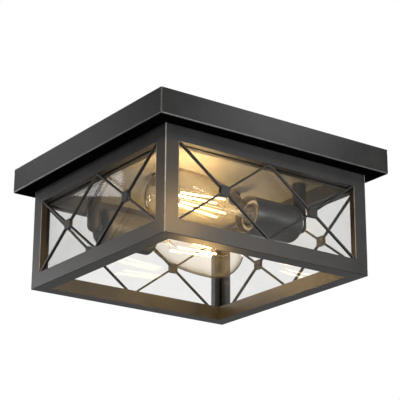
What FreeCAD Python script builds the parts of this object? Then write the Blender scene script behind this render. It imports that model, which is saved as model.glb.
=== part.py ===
"""Square porch ceiling lantern with four glazed windows, crossed bars and two horizontal lamps.

The origin is the centre of the ceiling plane. +Z points up into the ceiling, so the lantern
hangs below the origin. The front window faces -Y. All sizes are in millimetres.
"""
import FreeCAD, Part
import math
import os

import Sketcher

DRIVING_SIZES = [
    ("canopy_width", 305.0, "outside width of the square ceiling pan"),
    ("canopy_height", 28.5, "from the ceiling down to the pan's flat underside"),
    ("canopy_sheet", 1.2, "thickness of the pan's sheet"),
    ("canopy_bend", 1.6, "outside radius of the pan's folded edges"),
    ("body_width", 267.6, "outside width of the square frame"),
    ("body_height", 116.5, "from the pan's underside to the frame's bottom"),
    ("frame_edge", 0.8, "radius of the frame's outer edges"),
    ("top_rail_height", 16.3, "face height of a top rail"),
    ("bottom_rail_height", 16.5, "face height of a bottom rail"),
    ("rail_depth", 17.3, "depth of a rail, from the face inwards"),
    ("corner_face", 16.8, "face width of a corner post"),
    ("corner_depth", 7.6, "thickness of each leg of a corner post"),
    ("tube_wall", 1.2, "sheet thickness of the hollow rails and posts"),
    ("glass_thickness", 3.0, "thickness of a window pane"),
    ("glass_play", 0.3, "free space on each side of a pane in its groove"),
    ("glass_seat", 4.5, "depth to which a pane stands in each rail"),
    ("glass_lift", 5.0, "free height above a pane, to lift it out of the bottom rail"),
    ("glass_corner_gap", 0.8, "space between two panes' edges at a corner"),
    ("bar_width", 2.2, "width of a lattice bar on the window's face"),
    ("bar_depth", 3.2, "depth of a lattice bar"),
    ("bar_setback", 0.5, "from the frame's face to the bars"),
    ("bar_bend", 8.0, "outside radius of a bar's bend"),
    ("block_width", 10.8, "side of the square block on a crossing"),
    ("block_depth", 4.4, "depth of that block"),
    ("lamp_post_x", 94.5, "lamp post's distance from the middle, along the lamps"),
    ("lamp_post_y", 66.0, "lamp post's distance from the middle, across the lamps"),
    ("lamp_post_radius", 8.0, "outside radius of a lamp post"),
    ("lamp_post_wall", 1.4, "wall of a lamp post"),
    ("lamp_drop", 50.0, "from the pan's underside down to the lamps' axis"),
    ("post_end_solid", 10.0, "solid length at a post's top and above its ball end"),
    ("thread_radius", 5.0, "outside radius of the threaded tubes"),
    ("thread_bore", 3.5, "radius of the wire way through them"),
    ("thread_play", 0.05, "radial play of every thread"),
    ("hole_play", 0.4, "radial play of every plain hole round a thread"),
    ("nipple_length", 21.0, "length of a threaded tube"),
    ("nipple_seat", 9.0, "length of a threaded tube inside a post or lamp holder"),
    ("nut_height", 3.2, "height of a lock nut"),
    ("nut_across", 14.0, "width across the flats of a lock nut"),
    ("washer_radius", 9.0, "outside radius of a washer"),
    ("washer_height", 1.2, "thickness of a washer"),
    ("seat_gap", 0.3, "gap between pieces that stand next to each other"),
    ("cup_radius", 21.0, "outside radius of a socket cup"),
    ("cup_wall", 1.0, "sheet thickness of a socket cup"),
    ("cup_corner", 6.0, "outside radius round a cup's closed end"),
    ("cup_reach", 74.5, "from the post's axis to the cup's mouth"),
    ("holder_radius", 17.2, "outside radius of the ceramic lamp holder"),
    ("holder_recess", 5.5, "from the cup's mouth back to the holder's face"),
    ("shell_recess", 2.0, "from the holder's face back to the screw shell's mouth"),
    ("shell_length", 17.0, "length of the brass screw shell"),
    ("shell_radius", 13.3, "inside radius of the screw shell"),
    ("shell_wall", 0.5, "sheet thickness of the screw shell and its contact"),
    ("contact_well", 8.0, "depth of the well behind the screw shell"),
    ("contact_width", 6.0, "width of the contact spring"),
    ("base_thread_radius", 13.0, "outside radius of a bulb's thread"),
    ("base_core_radius", 12.2, "radius of a bulb's base between its threads"),
    ("base_wall", 0.5, "sheet thickness of a bulb's base"),
    ("base_pitch", 3.63, "pitch of a bulb's thread"),
    ("base_turns", 4.0, "whole turns of a bulb's thread, which it takes to unscrew it"),
    ("base_stand", 3.5, "length of a bulb's base outside the screw shell"),
    ("insulator_height", 5.0, "height of the glass insulator under a bulb's base"),
    ("tip_radius", 4.5, "radius of a bulb's tip contact"),
    ("tip_height", 2.5, "height of a bulb's tip contact"),
    ("bulb_radius", 32.0, "largest radius of a bulb's glass"),
    ("bulb_length", 131.8, "from a bulb's base to the end of its glass"),
    ("bulb_glass", 1.0, "thickness of a bulb's glass"),
    ("neck_inset", 3.0, "length of a bulb's neck inside its base"),
    ("neck_straight", 5.5, "straight length of a bulb's neck"),
    ("filament_start", 39.0, "from a bulb's base to its filaments"),
    ("filament_length", 56.0, "length of a filament"),
    ("filament_radius", 1.1, "radius of a filament"),
    ("filament_wide", 8.0, "filament's offset from the axis, both ways, at the base end"),
    ("filament_narrow", 5.2, "the same at the far end"),
    ("wire_radius", 0.4, "radius of a bulb's support wires"),
    ("crossbar_length", 122.0, "length of the mounting crossbar"),
    ("crossbar_width", 24.0, "width of the crossbar"),
    ("crossbar_sheet", 2.0, "thickness of the crossbar"),
    ("slot_spacing", 79.4, "between the middles of the crossbar's two slots"),
    ("slot_length", 14.3, "length of a slot, end to end"),
    ("slot_radius", 2.4, "half the width of a slot"),
    ("stud_spacing", 108.0, "between the two mounting studs"),
    ("stud_radius", 2.1, "outside radius of a stud and of the frame screws"),
    ("stud_length", 40.0, "length of a stud"),
    ("stud_nut_across", 8.8, "width across the flats of a stud's lock nut"),
    ("stud_nut_height", 3.0, "height of a stud's lock nut"),
    ("cap_nut_radius", 7.5, "radius of a cap nut's ball"),
    ("cap_nut_collar", 6.0, "radius of a cap nut's collar"),
    ("cap_nut_height", 15.5, "height of a cap nut"),
    ("cap_nut_roof", 3.0, "solid thickness under the stud in a cap nut"),
    ("frame_screw_x", 80.0, "frame screw's distance from the middle of its rail"),
    ("frame_screw_length", 7.5, "length of a frame screw under its head"),
    ("screw_head_radius", 3.7, "radius of a screw's head"),
    ("screw_head_height", 2.2, "height of a screw's head"),
    ("ground_screw_x", 17.0, "ground screw's distance from the middle of the crossbar"),
]

HALF_BODY = "(dim.body_width / 2)"
BODY_TOP = "(-dim.canopy_height)"
BODY_BOTTOM = "(-dim.canopy_height - dim.body_height)"
WINDOW_TOP = "(-dim.canopy_height - dim.top_rail_height)"
WINDOW_BOTTOM = f"({BODY_BOTTOM} + dim.bottom_rail_height)"
WINDOW_HALF = f"({HALF_BODY} - dim.corner_face)"
WINDOW_HALF_HEIGHT = f"(({WINDOW_TOP} - {WINDOW_BOTTOM}) / 2)"
WINDOW_MIDDLE = f"(({WINDOW_TOP} + {WINDOW_BOTTOM}) / 2)"
PLATE_TOP = "(-dim.canopy_height + dim.canopy_sheet)"
GROOVE_WIDTH = "(dim.glass_thickness + 2 * dim.glass_play)"
PANE_HALF = f"({HALF_BODY} - dim.corner_depth - {GROOVE_WIDTH} - dim.glass_corner_gap)"
LAMP_Z = "(-dim.canopy_height - dim.lamp_drop)"
CUP_BACK = "(dim.lamp_post_radius + dim.seat_gap)"
CUP_NUT_SEAT = f"({CUP_BACK} + dim.cup_wall)"
HOLDER_BACK = f"({CUP_NUT_SEAT} + dim.nut_height + dim.seat_gap)"
HOLDER_FACE = "(dim.cup_reach - dim.holder_recess)"
SHELL_MOUTH = f"({HOLDER_FACE} - dim.shell_recess)"
SHELL_BACK = f"({SHELL_MOUTH} - dim.shell_length)"
BASE_RIM = f"({SHELL_MOUTH} + dim.base_stand)"
BASE_BACK = f"({SHELL_MOUTH} - dim.base_turns * dim.base_pitch)"
TIP_SEAT = f"({BASE_BACK} - dim.insulator_height)"
TIP_END = f"({TIP_SEAT} - dim.tip_height)"
NECK_RADIUS = "(dim.base_core_radius - dim.base_wall - dim.seat_gap)"
SCREW_DEPTH = "(dim.corner_depth / 2)"
STUD_TIP = "(-dim.stud_length)"
CAP_NUT_TOP = "(-dim.canopy_height - dim.seat_gap)"

ORIGIN = FreeCAD.Vector(0, 0, 0)
X_AXIS = FreeCAD.Vector(1, 0, 0)
Y_AXIS = FreeCAD.Vector(0, 1, 0)
Z_AXIS = FreeCAD.Vector(0, 0, 1)
SIDES = {"front": 0, "right": 90, "back": 180, "left": 270}
CORNERS = {"front_left": 0, "front_right": 90, "back_right": 180, "back_left": 270}
LAMPS = {"back": 1, "front": -1}
ENDS = {"left": -1, "right": 1}

doc = FreeCAD.newDocument("porch_ceiling_lantern")
finished = []


def make_sheet():
    """Fill the sheet of driving sizes, one alias for each size."""
    sheet = doc.addObject("Spreadsheet::Sheet", "dim")
    for row, (alias, value, note) in enumerate(DRIVING_SIZES, start=1):
        sheet.set(f"A{row}", alias)
        sheet.set(f"B{row}", str(value))
        sheet.set(f"C{row}", note)
        sheet.setAlias(f"B{row}", alias)
    doc.recompute()
    return sheet


def bind(thing, sizes):
    """Bind properties of an object to expressions on the sheet."""
    for name, expression in sizes.items():
        thing.setExpression(name, expression)


def put(thing, at, axis=Z_AXIS, angle=0):
    """Place an object at a point given by expressions, turned about an axis."""
    thing.Placement = FreeCAD.Placement(ORIGIN, FreeCAD.Rotation(axis, angle))
    bind(thing, {f"Placement.Base.{key}": value for key, value in zip("xyz", at)})


def box(name, size, at):
    """Box with its low corner at a point."""
    solid = doc.addObject("Part::Box", name)
    bind(solid, dict(zip(("Length", "Width", "Height"), size)))
    put(solid, at)
    return solid


def rod(name, radius, height, at, axis=Z_AXIS, angle=0):
    """Cylinder that starts at a point and runs up, or along where the turn points it."""
    solid = doc.addObject("Part::Cylinder", name)
    bind(solid, {"Radius": radius, "Height": height})
    put(solid, at, axis, angle)
    return solid


def ball(name, radius, at):
    """Sphere about a point."""
    solid = doc.addObject("Part::Sphere", name)
    bind(solid, {"Radius": radius})
    put(solid, at)
    return solid


def hexagon(name, across, height, at, axis=Z_AXIS, angle=0):
    """Hexagonal bar that starts at a point."""
    solid = doc.addObject("Part::Prism", name)
    solid.Polygon = 6
    bind(solid, {"Circumradius": f"{across} / sqrt(3)", "Height": height})
    put(solid, at, axis, angle)
    return solid


def join(name, pieces):
    """Union of pieces. Pieces that don't touch stay separate solids of one group."""
    union = doc.addObject("Part::MultiFuse", name)
    union.Shapes = pieces
    return union


def cut(name, base, tools):
    """A piece with tools taken out of it."""
    result = doc.addObject("Part::Cut", name)
    result.Base = base
    result.Tool = tools[0] if len(tools) == 1 else join(f"{name}_tools", tools)
    return result


def common(name, first, second):
    """What two shapes share."""
    result = doc.addObject("Part::Common", name)
    result.Base = first
    result.Tool = second
    return result


def finish(thing, label, turn=None):
    """Name a finished sub-part, and turn it about the lantern's vertical axis if asked."""
    thing.Label = label
    if turn is not None:
        thing.Placement = FreeCAD.Placement(ORIGIN, FreeCAD.Rotation(Z_AXIS, turn))
    finished.append(thing)
    return thing


def plane_of(body, role):
    """A body's own origin plane."""
    return next(item for item in body.Origin.OriginFeatures if item.Role == role)


def new_sketch(body, name, role):
    """Sketch on one of a body's origin planes."""
    sketch = body.newObject("Sketcher::SketchObject", name)
    sketch.AttachmentSupport = [(plane_of(body, role), "")]
    sketch.MapMode = "FlatFace"
    return sketch


def constrain(sketch, kind, element, point, expression):
    """Bind one coordinate of a sketch point to an expression."""
    index = sketch.addConstraint(Sketcher.Constraint(kind, -1, 1, element, point, 1.0))
    sketch.setExpression(f"Constraints[{index}]", expression)


def draw_outline(sketch, corners):
    """Closed outline of straight lines through corners given by expressions."""
    count = len(corners)
    first = sketch.GeometryCount
    for index in range(count):
        start, end = 2 * math.pi * index / count, 2 * math.pi * (index + 1) / count
        line = Part.LineSegment(
            FreeCAD.Vector(math.cos(start), math.sin(start), 0),
            FreeCAD.Vector(math.cos(end), math.sin(end), 0),
        )
        sketch.addGeometry(line, False)
    for index, (across, up) in enumerate(corners):
        following = first + (index + 1) % count
        sketch.addConstraint(Sketcher.Constraint("Coincident", first + index, 2, following, 1))
        constrain(sketch, "DistanceX", first + index, 1, across)
        constrain(sketch, "DistanceY", first + index, 1, up)


def draw_circle(sketch, across, up, radius):
    """Circle about a point given by expressions."""
    element = sketch.addGeometry(Part.Circle(FreeCAD.Vector(1, 1, 0), Z_AXIS, 1), False)
    constrain(sketch, "DistanceX", element, 3, across)
    constrain(sketch, "DistanceY", element, 3, up)
    index = sketch.addConstraint(Sketcher.Constraint("Radius", element, 1.0))
    sketch.setExpression(f"Constraints[{index}]", radius)


def square(half):
    """Corners of a square about the sketch's origin."""
    return [(f"-{half}", f"-{half}"), (half, f"-{half}"), (half, half), (f"-{half}", half)]


def pad(body, name, sketch, length, downwards=False):
    """Extrude a sketch."""
    feature = body.newObject("PartDesign::Pad", name)
    feature.Profile = sketch
    feature.Reversed = downwards
    bind(feature, {"Length": length})
    doc.recompute()
    return feature


def pocket(body, name, sketch, depth=None):
    """Cut a sketch down into the body, or right through it."""
    before = body.Shape.Volume
    feature = body.newObject("PartDesign::Pocket", name)
    feature.Profile = sketch
    if depth is None:
        feature.Type = "ThroughAll"
    else:
        bind(feature, {"Length": depth})
    doc.recompute()
    if body.Shape.Volume >= before:
        raise RuntimeError(f"{name} cuts nothing")
    return feature


def round_edges(body, name, radius, wanted):
    """Round the edges of a body that a test picks."""
    base = body.Tip
    edges = [f"Edge{i}" for i, edge in enumerate(base.Shape.Edges, start=1) if wanted(edge)]
    feature = body.newObject("PartDesign::Fillet", name)
    feature.Base = (base, edges)
    bind(feature, {"Radius": radius})
    doc.recompute()
    return feature


def turned(name, corners):
    """Body of revolution about its own Z axis. Each corner is a radius and a height."""
    body = doc.addObject("PartDesign::Body", name)
    sketch = new_sketch(body, f"{name}_section", "XZ_Plane")
    draw_outline(sketch, corners)
    doc.recompute()
    feature = body.newObject("PartDesign::Revolution", f"{name}_turn")
    feature.Profile = sketch
    feature.ReferenceAxis = (sketch, ["V_Axis"])
    feature.Angle = 360
    doc.recompute()
    return body


def ring(inner, outer, low, high):
    """Section of a plain ring."""
    return [(inner, low), (outer, low), (outer, high), (inner, high)]


def cell(alias):
    """A driving size as a number, for the shapes that are made point by point."""
    return float(sheet.get(alias))


# ---------------------------------------------------------------- ceiling pan and its fixings


def make_canopy():
    """Folded square pan, open towards the ceiling, with its fixing holes."""
    body = doc.addObject("PartDesign::Body", "canopy_body")
    outline = new_sketch(body, "canopy_outline", "XY_Plane")
    draw_outline(outline, square("(dim.canopy_width / 2)"))
    pad(body, "canopy_block", outline, "dim.canopy_height", downwards=True)
    round_edges(body, "canopy_edges", "dim.canopy_bend", lambda edge: edge.BoundBox.ZMin < -1)
    hollow = new_sketch(body, "canopy_hollow", "XY_Plane")
    draw_outline(hollow, square("(dim.canopy_width / 2 - dim.canopy_sheet)"))
    pocket(body, "canopy_inside", hollow, "dim.canopy_height - dim.canopy_sheet")
    holes = new_sketch(body, "canopy_holes", "XY_Plane")
    tube_hole = "dim.thread_radius + dim.hole_play"
    small_hole = "dim.stud_radius + dim.hole_play"
    for sign in LAMPS.values():
        draw_circle(holes, f"{-sign} * dim.lamp_post_x", f"{sign} * dim.lamp_post_y", tube_hole)
    for sign in ENDS.values():
        draw_circle(holes, f"{sign} * dim.stud_spacing / 2", "0", small_hole)
        for other in ENDS.values():
            along = f"{sign} * dim.frame_screw_x"
            out = f"{other} * ({HALF_BODY} - {SCREW_DEPTH})"
            draw_circle(holes, along, out, small_hole)
            draw_circle(holes, out, along, small_hole)
    pocket(body, "canopy_drilling", holes)
    finish(body, "canopy_pan")


def make_crossbar():
    """Flat mounting bar with two slots for the box screws and three threaded holes."""
    body = doc.addObject("PartDesign::Body", "crossbar_body")
    outline = new_sketch(body, "crossbar_outline", "XY_Plane")
    half_length, half_width = "dim.crossbar_length / 2", "dim.crossbar_width / 2"
    draw_outline(outline, [
        (f"-{half_length}", f"-{half_width}"), (half_length, f"-{half_width}"),
        (half_length, half_width), (f"-{half_length}", half_width),
    ])
    pad(body, "crossbar_strip", outline, "dim.crossbar_sheet", downwards=True)
    holes = new_sketch(body, "crossbar_holes", "XY_Plane")
    for sign in ENDS.values():
        draw_circle(holes, f"{sign} * dim.stud_spacing / 2", "0", "dim.stud_radius + dim.thread_play")
    draw_circle(holes, "dim.ground_screw_x", "0", "dim.stud_radius + dim.thread_play")
    pocket(body, "crossbar_threads", holes)
    slots = [slot_tool(side, sign) for side, sign in ENDS.items()]
    finish(cut("crossbar", body, slots), "mounting_crossbar")


def slot_tool(side, sign):
    """Cutter for one round-ended slot of the crossbar."""
    middle = f"{sign} * dim.slot_spacing / 2"
    half = "(dim.slot_length / 2 - dim.slot_radius)"
    depth = "dim.crossbar_sheet"
    flat = box(
        f"slot_{side}_flat", (f"2 * {half}", "2 * dim.slot_radius", depth),
        (f"{middle} - {half}", "-dim.slot_radius", f"-{depth}"),
    )
    ends = [
        rod(
            f"slot_{side}_end_{end}", "dim.slot_radius", depth,
            (f"{middle} + {way} * {half}", "0", f"-{depth}"),
        )
        for end, way in ENDS.items()
    ]
    return join(f"slot_{side}", [flat] + ends)


def make_studs():
    """Two threaded studs with their lock nuts and the cap nuts that hold the pan up."""
    studs, nuts = [], []
    bore = "(dim.stud_radius + dim.thread_play)"
    for side, sign in ENDS.items():
        x = f"{sign} * dim.stud_spacing / 2"
        studs.append(rod(f"stud_{side}", "dim.stud_radius", "dim.stud_length", (x, "0", STUD_TIP)))
        nut_z = "(-dim.crossbar_sheet - dim.stud_nut_height)"
        body = hexagon(f"stud_nut_{side}_hex", "dim.stud_nut_across", "dim.stud_nut_height", (x, "0", nut_z))
        hole = rod(f"stud_nut_{side}_hole", bore, "dim.stud_nut_height", (x, "0", nut_z))
        nuts.append(cut(f"stud_nut_{side}", body, [hole]))
        centre = f"({CAP_NUT_TOP} - dim.cap_nut_height + dim.cap_nut_radius)"
        collar_height = f"{CAP_NUT_TOP} - {centre}"
        nut = join(f"cap_nut_{side}_solid", [
            ball(f"cap_nut_{side}_ball", "dim.cap_nut_radius", (x, "0", centre)),
            rod(f"cap_nut_{side}_collar", "dim.cap_nut_collar", collar_height, (x, "0", centre)),
        ])
        depth = "(dim.cap_nut_height - dim.cap_nut_roof)"
        bore_tool = rod(f"cap_nut_{side}_bore", bore, depth, (x, "0", f"{CAP_NUT_TOP} - {depth}"))
        finish(cut(f"cap_nut_{side}_part", nut, [bore_tool]), f"cap_nut_{side}")
    finish(join("studs", studs), "mounting_studs")
    finish(join("stud_nuts_group", nuts), "stud_nuts")


def make_screws():
    """The ground screw, and the screws that hold the frame to the pan."""
    ground = "dim.ground_screw_x"
    head_z = "(-dim.crossbar_sheet - dim.screw_head_height)"
    screw = join("ground_screw_solid", [
        rod("ground_head", "dim.screw_head_radius", "dim.screw_head_height", (ground, "0", head_z)),
        rod("ground_shank", "dim.stud_radius", "dim.crossbar_sheet", (ground, "0", "-dim.crossbar_sheet")),
    ])
    finish(screw, "ground_screw")
    screws = []
    for side, turn in SIDES.items():
        for end, sign in ENDS.items():
            name = f"frame_screw_{side}_{end}"
            across = f"{sign} * dim.frame_screw_x"
            out = f"(-{HALF_BODY} + {SCREW_DEPTH})"
            at = {0: (across, out), 90: (f"-{out}", across), 180: (across, f"-{out}"), 270: (out, across)}
            x, y = at[turn]
            shank_z = f"{PLATE_TOP} - dim.frame_screw_length"
            screws.append(join(name, [
                rod(f"{name}_head", "dim.screw_head_radius", "dim.screw_head_height", (x, y, PLATE_TOP)),
                rod(f"{name}_shank", "dim.stud_radius", "dim.frame_screw_length", (x, y, shank_z)),
            ]))
    finish(join("frame_screws_group", screws), "frame_screws")


# ---------------------------------------------------------------- frame, glass and lattice


def make_envelope():
    """Rounded outer form that the frame's rails and posts are trimmed to."""
    body = doc.addObject("PartDesign::Body", "frame_envelope")
    outline = new_sketch(body, "envelope_outline", "XY_Plane")
    draw_outline(outline, square(HALF_BODY))
    pad(body, "envelope_block", outline, "dim.body_height", downwards=True)
    round_edges(body, "envelope_edges", "dim.frame_edge", lambda edge: edge.BoundBox.ZMin < -1)
    put(body, ("0", "0", BODY_TOP))
    return body


def mitred_bar(name, inset, depth, low, high):
    """Bar along the front side with both ends cut at 45 degrees."""
    bar = doc.addObject("Part::Wedge", name)
    outer = f"({HALF_BODY} - {inset})"
    inner = f"({HALF_BODY} - {inset} - {depth})"
    bind(bar, {
        "Ymin": f"-{outer}", "Ymax": f"-{inner}",
        "Xmin": f"-{outer}", "Xmax": outer, "X2min": f"-{inner}", "X2max": inner,
        "Zmin": low, "Zmax": high, "Z2min": low, "Z2max": high,
    })
    return bar


def groove_tool(name, low, high, extra):
    """Box along the panes' groove, larger all round by some extra."""
    half = f"({PANE_HALF} + dim.glass_play + {extra})"
    y = f"-{HALF_BODY} + dim.corner_depth - {extra}"
    size = (f"2 * {half}", f"{GROOVE_WIDTH} + 2 * {extra}", f"{high} - {low}")
    return box(name, size, (f"-{half}", y, low))


def make_rail(name, side, low, high, groove_low, groove_high, jacket_low, jacket_high, envelope, drill):
    """Hollow mitred rail of one side, with a folded-in groove for the pane's edge."""
    key = f"{name}_{side}"
    wall = "dim.tube_wall"
    outside = mitred_bar(f"{key}_outside", "0", "dim.rail_depth", low, high)
    inner_depth = f"(dim.rail_depth - 2 * {wall})"
    inside = mitred_bar(f"{key}_inside", wall, inner_depth, f"{low} + {wall}", f"{high} - {wall}")
    jacket = groove_tool(f"{key}_jacket", jacket_low, jacket_high, wall)
    hollow = cut(f"{key}_hollow", inside, [jacket])
    tools = [hollow, groove_tool(f"{key}_groove", groove_low, groove_high, "0")]
    if drill:
        y = f"-{HALF_BODY} + {SCREW_DEPTH}"
        for end, sign in ENDS.items():
            at = (f"{sign} * dim.frame_screw_x", y, f"{BODY_TOP} - {wall}")
            tools.append(rod(f"{key}_pilot_{end}", "dim.stud_radius + dim.thread_play", wall, at))
    tube = cut(f"{key}_tube", outside, tools)
    finish(common(key, tube, envelope), key, SIDES[side])


def make_rails(envelope):
    """The four top rails and the four bottom rails."""
    wall = "dim.tube_wall"
    top_groove = f"({WINDOW_TOP} + dim.glass_seat + dim.glass_lift)"
    bottom_groove = f"({WINDOW_BOTTOM} - dim.glass_seat)"
    for side in SIDES:
        make_rail(
            "top_rail", side, WINDOW_TOP, BODY_TOP,
            WINDOW_TOP, top_groove, WINDOW_TOP, f"({top_groove} + {wall})", envelope, True,
        )
        make_rail(
            "bottom_rail", side, BODY_BOTTOM, WINDOW_BOTTOM,
            bottom_groove, WINDOW_BOTTOM, f"({bottom_groove} - {wall})", WINDOW_BOTTOM, envelope, False,
        )


def make_corner_posts(envelope):
    """Hollow posts of L-shaped section between the top and bottom rails."""
    height = f"2 * {WINDOW_HALF_HEIGHT}"
    for corner, turn in CORNERS.items():
        name = f"corner_post_{corner}"
        shapes = []
        for part, inset in (("outside", "0"), ("inside", "dim.tube_wall")):
            side = f"(dim.corner_face - 2 * {inset})"
            notch = "(dim.corner_face - dim.corner_depth)"
            low = f"(-{HALF_BODY} + {inset})"
            start = f"(-{HALF_BODY} + dim.corner_depth - {inset})"
            whole = box(f"{name}_{part}_square", (side, side, height), (low, low, WINDOW_BOTTOM))
            corner_cut = box(f"{name}_{part}_notch", (notch, notch, height), (start, start, WINDOW_BOTTOM))
            shapes.append(cut(f"{name}_{part}", whole, [corner_cut]))
        tube = cut(f"{name}_tube", shapes[0], [shapes[1]])
        finish(common(name, tube, envelope), name, turn)


def make_panes():
    """One clear pane for each window, standing in its two rails."""
    y = f"-{HALF_BODY} + dim.corner_depth + dim.glass_play"
    low = f"({WINDOW_BOTTOM} - dim.glass_seat)"
    height = f"{WINDOW_TOP} + dim.glass_seat - {low}"
    for side, turn in SIDES.items():
        size = (f"2 * {PANE_HALF}", "dim.glass_thickness", height)
        blank = box(f"pane_blank_{side}", size, (f"-{PANE_HALF}", y, low))
        pane = doc.addObject("Part::Refine", f"pane_{side}")
        pane.Source = blank
        finish(pane, f"glass_pane_{side}", turn)


def lattice_angle():
    """Slope of a bar that runs from a block's middle and touches its bend's circle."""
    centre_rise = f"({WINDOW_HALF_HEIGHT} - dim.bar_bend)"
    reach = f"({WINDOW_HALF} / 2)"
    centre_radius = "(dim.bar_bend - dim.bar_width / 2)"
    distance = f"sqrt({centre_rise}^2 + {reach}^2)"
    return f"(atan({centre_rise} / {reach}) + asin({centre_radius} / {distance}))"


def bent_bar(name, flip):
    """Square bar from a window's corner to the middle of its far rail and back up."""
    slope = lattice_angle()
    half_rise = f"(dim.bar_width / 2 / cos({slope}))"
    reach = f"({WINDOW_HALF} / 2)"
    drop = f"({reach} * tan({slope}))"
    body = doc.addObject("PartDesign::Body", name)
    sketch = new_sketch(body, f"{name}_outline", "XZ_Plane")
    far, high = f"(3 * {reach})", f"(2 * {drop})"
    draw_outline(sketch, [
        ("0", f"(-{drop} - {half_rise})"), (far, f"({high} - {half_rise})"),
        (far, f"({high} + {half_rise})"), ("0", f"(-{drop} + {half_rise})"),
        (f"-{far}", f"({high} + {half_rise})"), (f"-{far}", f"({high} - {half_rise})"),
    ])
    pad(body, f"{name}_pad", sketch, "dim.bar_depth", downwards=True)
    middle = [edge for edge in body.Shape.Edges if abs(edge.CenterOfMass.x) < 0.01 and is_across(edge)]
    low, high_edge = sorted(edge.CenterOfMass.z for edge in middle)
    round_edges(body, f"{name}_outer_bend", "dim.bar_bend", at_middle(low))
    round_edges(body, f"{name}_inner_bend", "dim.bar_bend - dim.bar_width", at_middle(high_edge))
    y = f"(-{HALF_BODY} + dim.bar_setback)"
    if flip:
        put(body, ("0", y, WINDOW_MIDDLE), Y_AXIS, 180)
    else:
        put(body, ("0", y, WINDOW_MIDDLE))
    return body


def is_across(edge):
    """Whether an edge runs straight through a bar's depth."""
    return edge.BoundBox.YLength > 1 and edge.BoundBox.XLength < 0.01 and edge.BoundBox.ZLength < 0.01


def at_middle(height):
    """Test for the edge across the bar at the middle of its bend."""
    return lambda edge: (
        is_across(edge) and abs(edge.CenterOfMass.x) < 0.01 and abs(edge.CenterOfMass.z - height) < 0.01
    )


def make_lattice(side, turn):
    """Two bent bars that cross twice in a window, with a square block on each crossing."""
    key = f"lattice_{side}"
    half = "dim.block_width / 2"
    y = f"(-{HALF_BODY} + dim.bar_setback + dim.bar_depth / 2 - dim.block_depth / 2)"
    blocks = [
        box(
            f"{key}_block_{end}", ("dim.block_width", "dim.block_depth", "dim.block_width"),
            (f"{sign} * {WINDOW_HALF} / 2 - {half}", y, f"{WINDOW_MIDDLE} - {half}"),
        )
        for end, sign in ENDS.items()
    ]
    size = (f"2 * {WINDOW_HALF}", "dim.corner_depth", f"2 * {WINDOW_HALF_HEIGHT}")
    window = box(f"{key}_window", size, (f"-{WINDOW_HALF}", f"-{HALF_BODY}", WINDOW_BOTTOM))
    bars = []
    for form, flip in (("valley", False), ("ridge", True)):
        inside = common(f"{key}_{form}_inside", bent_bar(f"{key}_{form}", flip), window)
        bars.append(cut(f"{key}_{form}_bar", inside, blocks))
    finish(join(f"{key}_bars", bars), f"lattice_bars_{side}", turn)
    finish(join(f"{key}_blocks", blocks), f"lattice_blocks_{side}", turn)


# ---------------------------------------------------------------- lamp posts and sockets


def along_lamp(sign, distance):
    """Point on a lamp's axis, some distance from its post."""
    return (f"{-sign} * dim.lamp_post_x + {sign} * {distance}", f"{sign} * dim.lamp_post_y", LAMP_Z)


def make_lamp_post(lamp, sign):
    """Tube with a threaded top and a solid ball end that the socket screws into."""
    x, y = f"{-sign} * dim.lamp_post_x", f"{sign} * dim.lamp_post_y"
    name = f"lamp_post_{lamp}"
    radius = "dim.lamp_post_radius"
    thread = "(dim.thread_radius + dim.thread_play)"
    seat = "(dim.nipple_seat + dim.seat_gap)"
    bore_low = f"({LAMP_Z} + dim.post_end_solid)"
    bore_high = f"({BODY_TOP} - {seat})"
    solid = join(f"{name}_solid", [
        rod(f"{name}_tube", radius, "dim.lamp_drop", (x, y, LAMP_Z)),
        ball(f"{name}_end", radius, (x, y, LAMP_Z)),
    ])
    tools = [
        rod(f"{name}_thread", thread, seat, (x, y, bore_high)),
        rod(f"{name}_bore", f"{radius} - dim.lamp_post_wall", f"{bore_high} - {bore_low}", (x, y, bore_low)),
        rod(f"{name}_way", "dim.thread_bore", "dim.post_end_solid", (x, y, LAMP_Z)),
        rod(f"{name}_socket_thread", thread, radius, (x, y, LAMP_Z), Y_AXIS, 90 * sign),
    ]
    finish(cut(name, solid, tools), name)


def make_nipples_and_nuts():
    """Threaded tubes that join pan, post, cup and holder, with their nuts and washers."""
    nipples, nuts, washers = [], [], []
    bore = "(dim.thread_radius + dim.thread_play)"
    for lamp, sign in LAMPS.items():
        x, y = f"{-sign} * dim.lamp_post_x", f"{sign} * dim.lamp_post_y"
        turn = 90 * sign
        upright = (x, y, f"{BODY_TOP} - dim.nipple_seat")
        lying = along_lamp(sign, f"({HOLDER_BACK} + dim.nipple_seat - dim.nipple_length)")
        for way, at, angle in (("upright", upright, 0), ("lying", lying, turn)):
            name = f"nipple_{way}_{lamp}"
            outside = rod(f"{name}_outside", "dim.thread_radius", "dim.nipple_length", at, Y_AXIS, angle)
            inside = rod(f"{name}_inside", "dim.thread_bore", "dim.nipple_length", at, Y_AXIS, angle)
            nipples.append(cut(name, outside, [inside]))
        top_nut = (x, y, f"{PLATE_TOP} + dim.washer_height")
        cup_nut = along_lamp(sign, CUP_NUT_SEAT)
        for way, at, angle in (("top", top_nut, 0), ("cup", cup_nut, turn)):
            name = f"{way}_nut_{lamp}"
            body = hexagon(f"{name}_hex", "dim.nut_across", "dim.nut_height", at, Y_AXIS, angle)
            hole = rod(f"{name}_hole", bore, "dim.nut_height", at, Y_AXIS, angle)
            nuts.append(cut(name, body, [hole]))
        plate = rod(f"washer_{lamp}_disc", "dim.washer_radius", "dim.washer_height", (x, y, PLATE_TOP))
        hole = rod(f"washer_{lamp}_hole", bore, "dim.washer_height", (x, y, PLATE_TOP))
        washers.append(cut(f"washer_{lamp}", plate, [hole]))
    finish(join("nipples", nipples), "threaded_nipples")
    finish(join("nipple_nuts_group", nuts), "nipple_nuts")
    finish(join("post_washers_group", washers), "post_washers")


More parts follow.
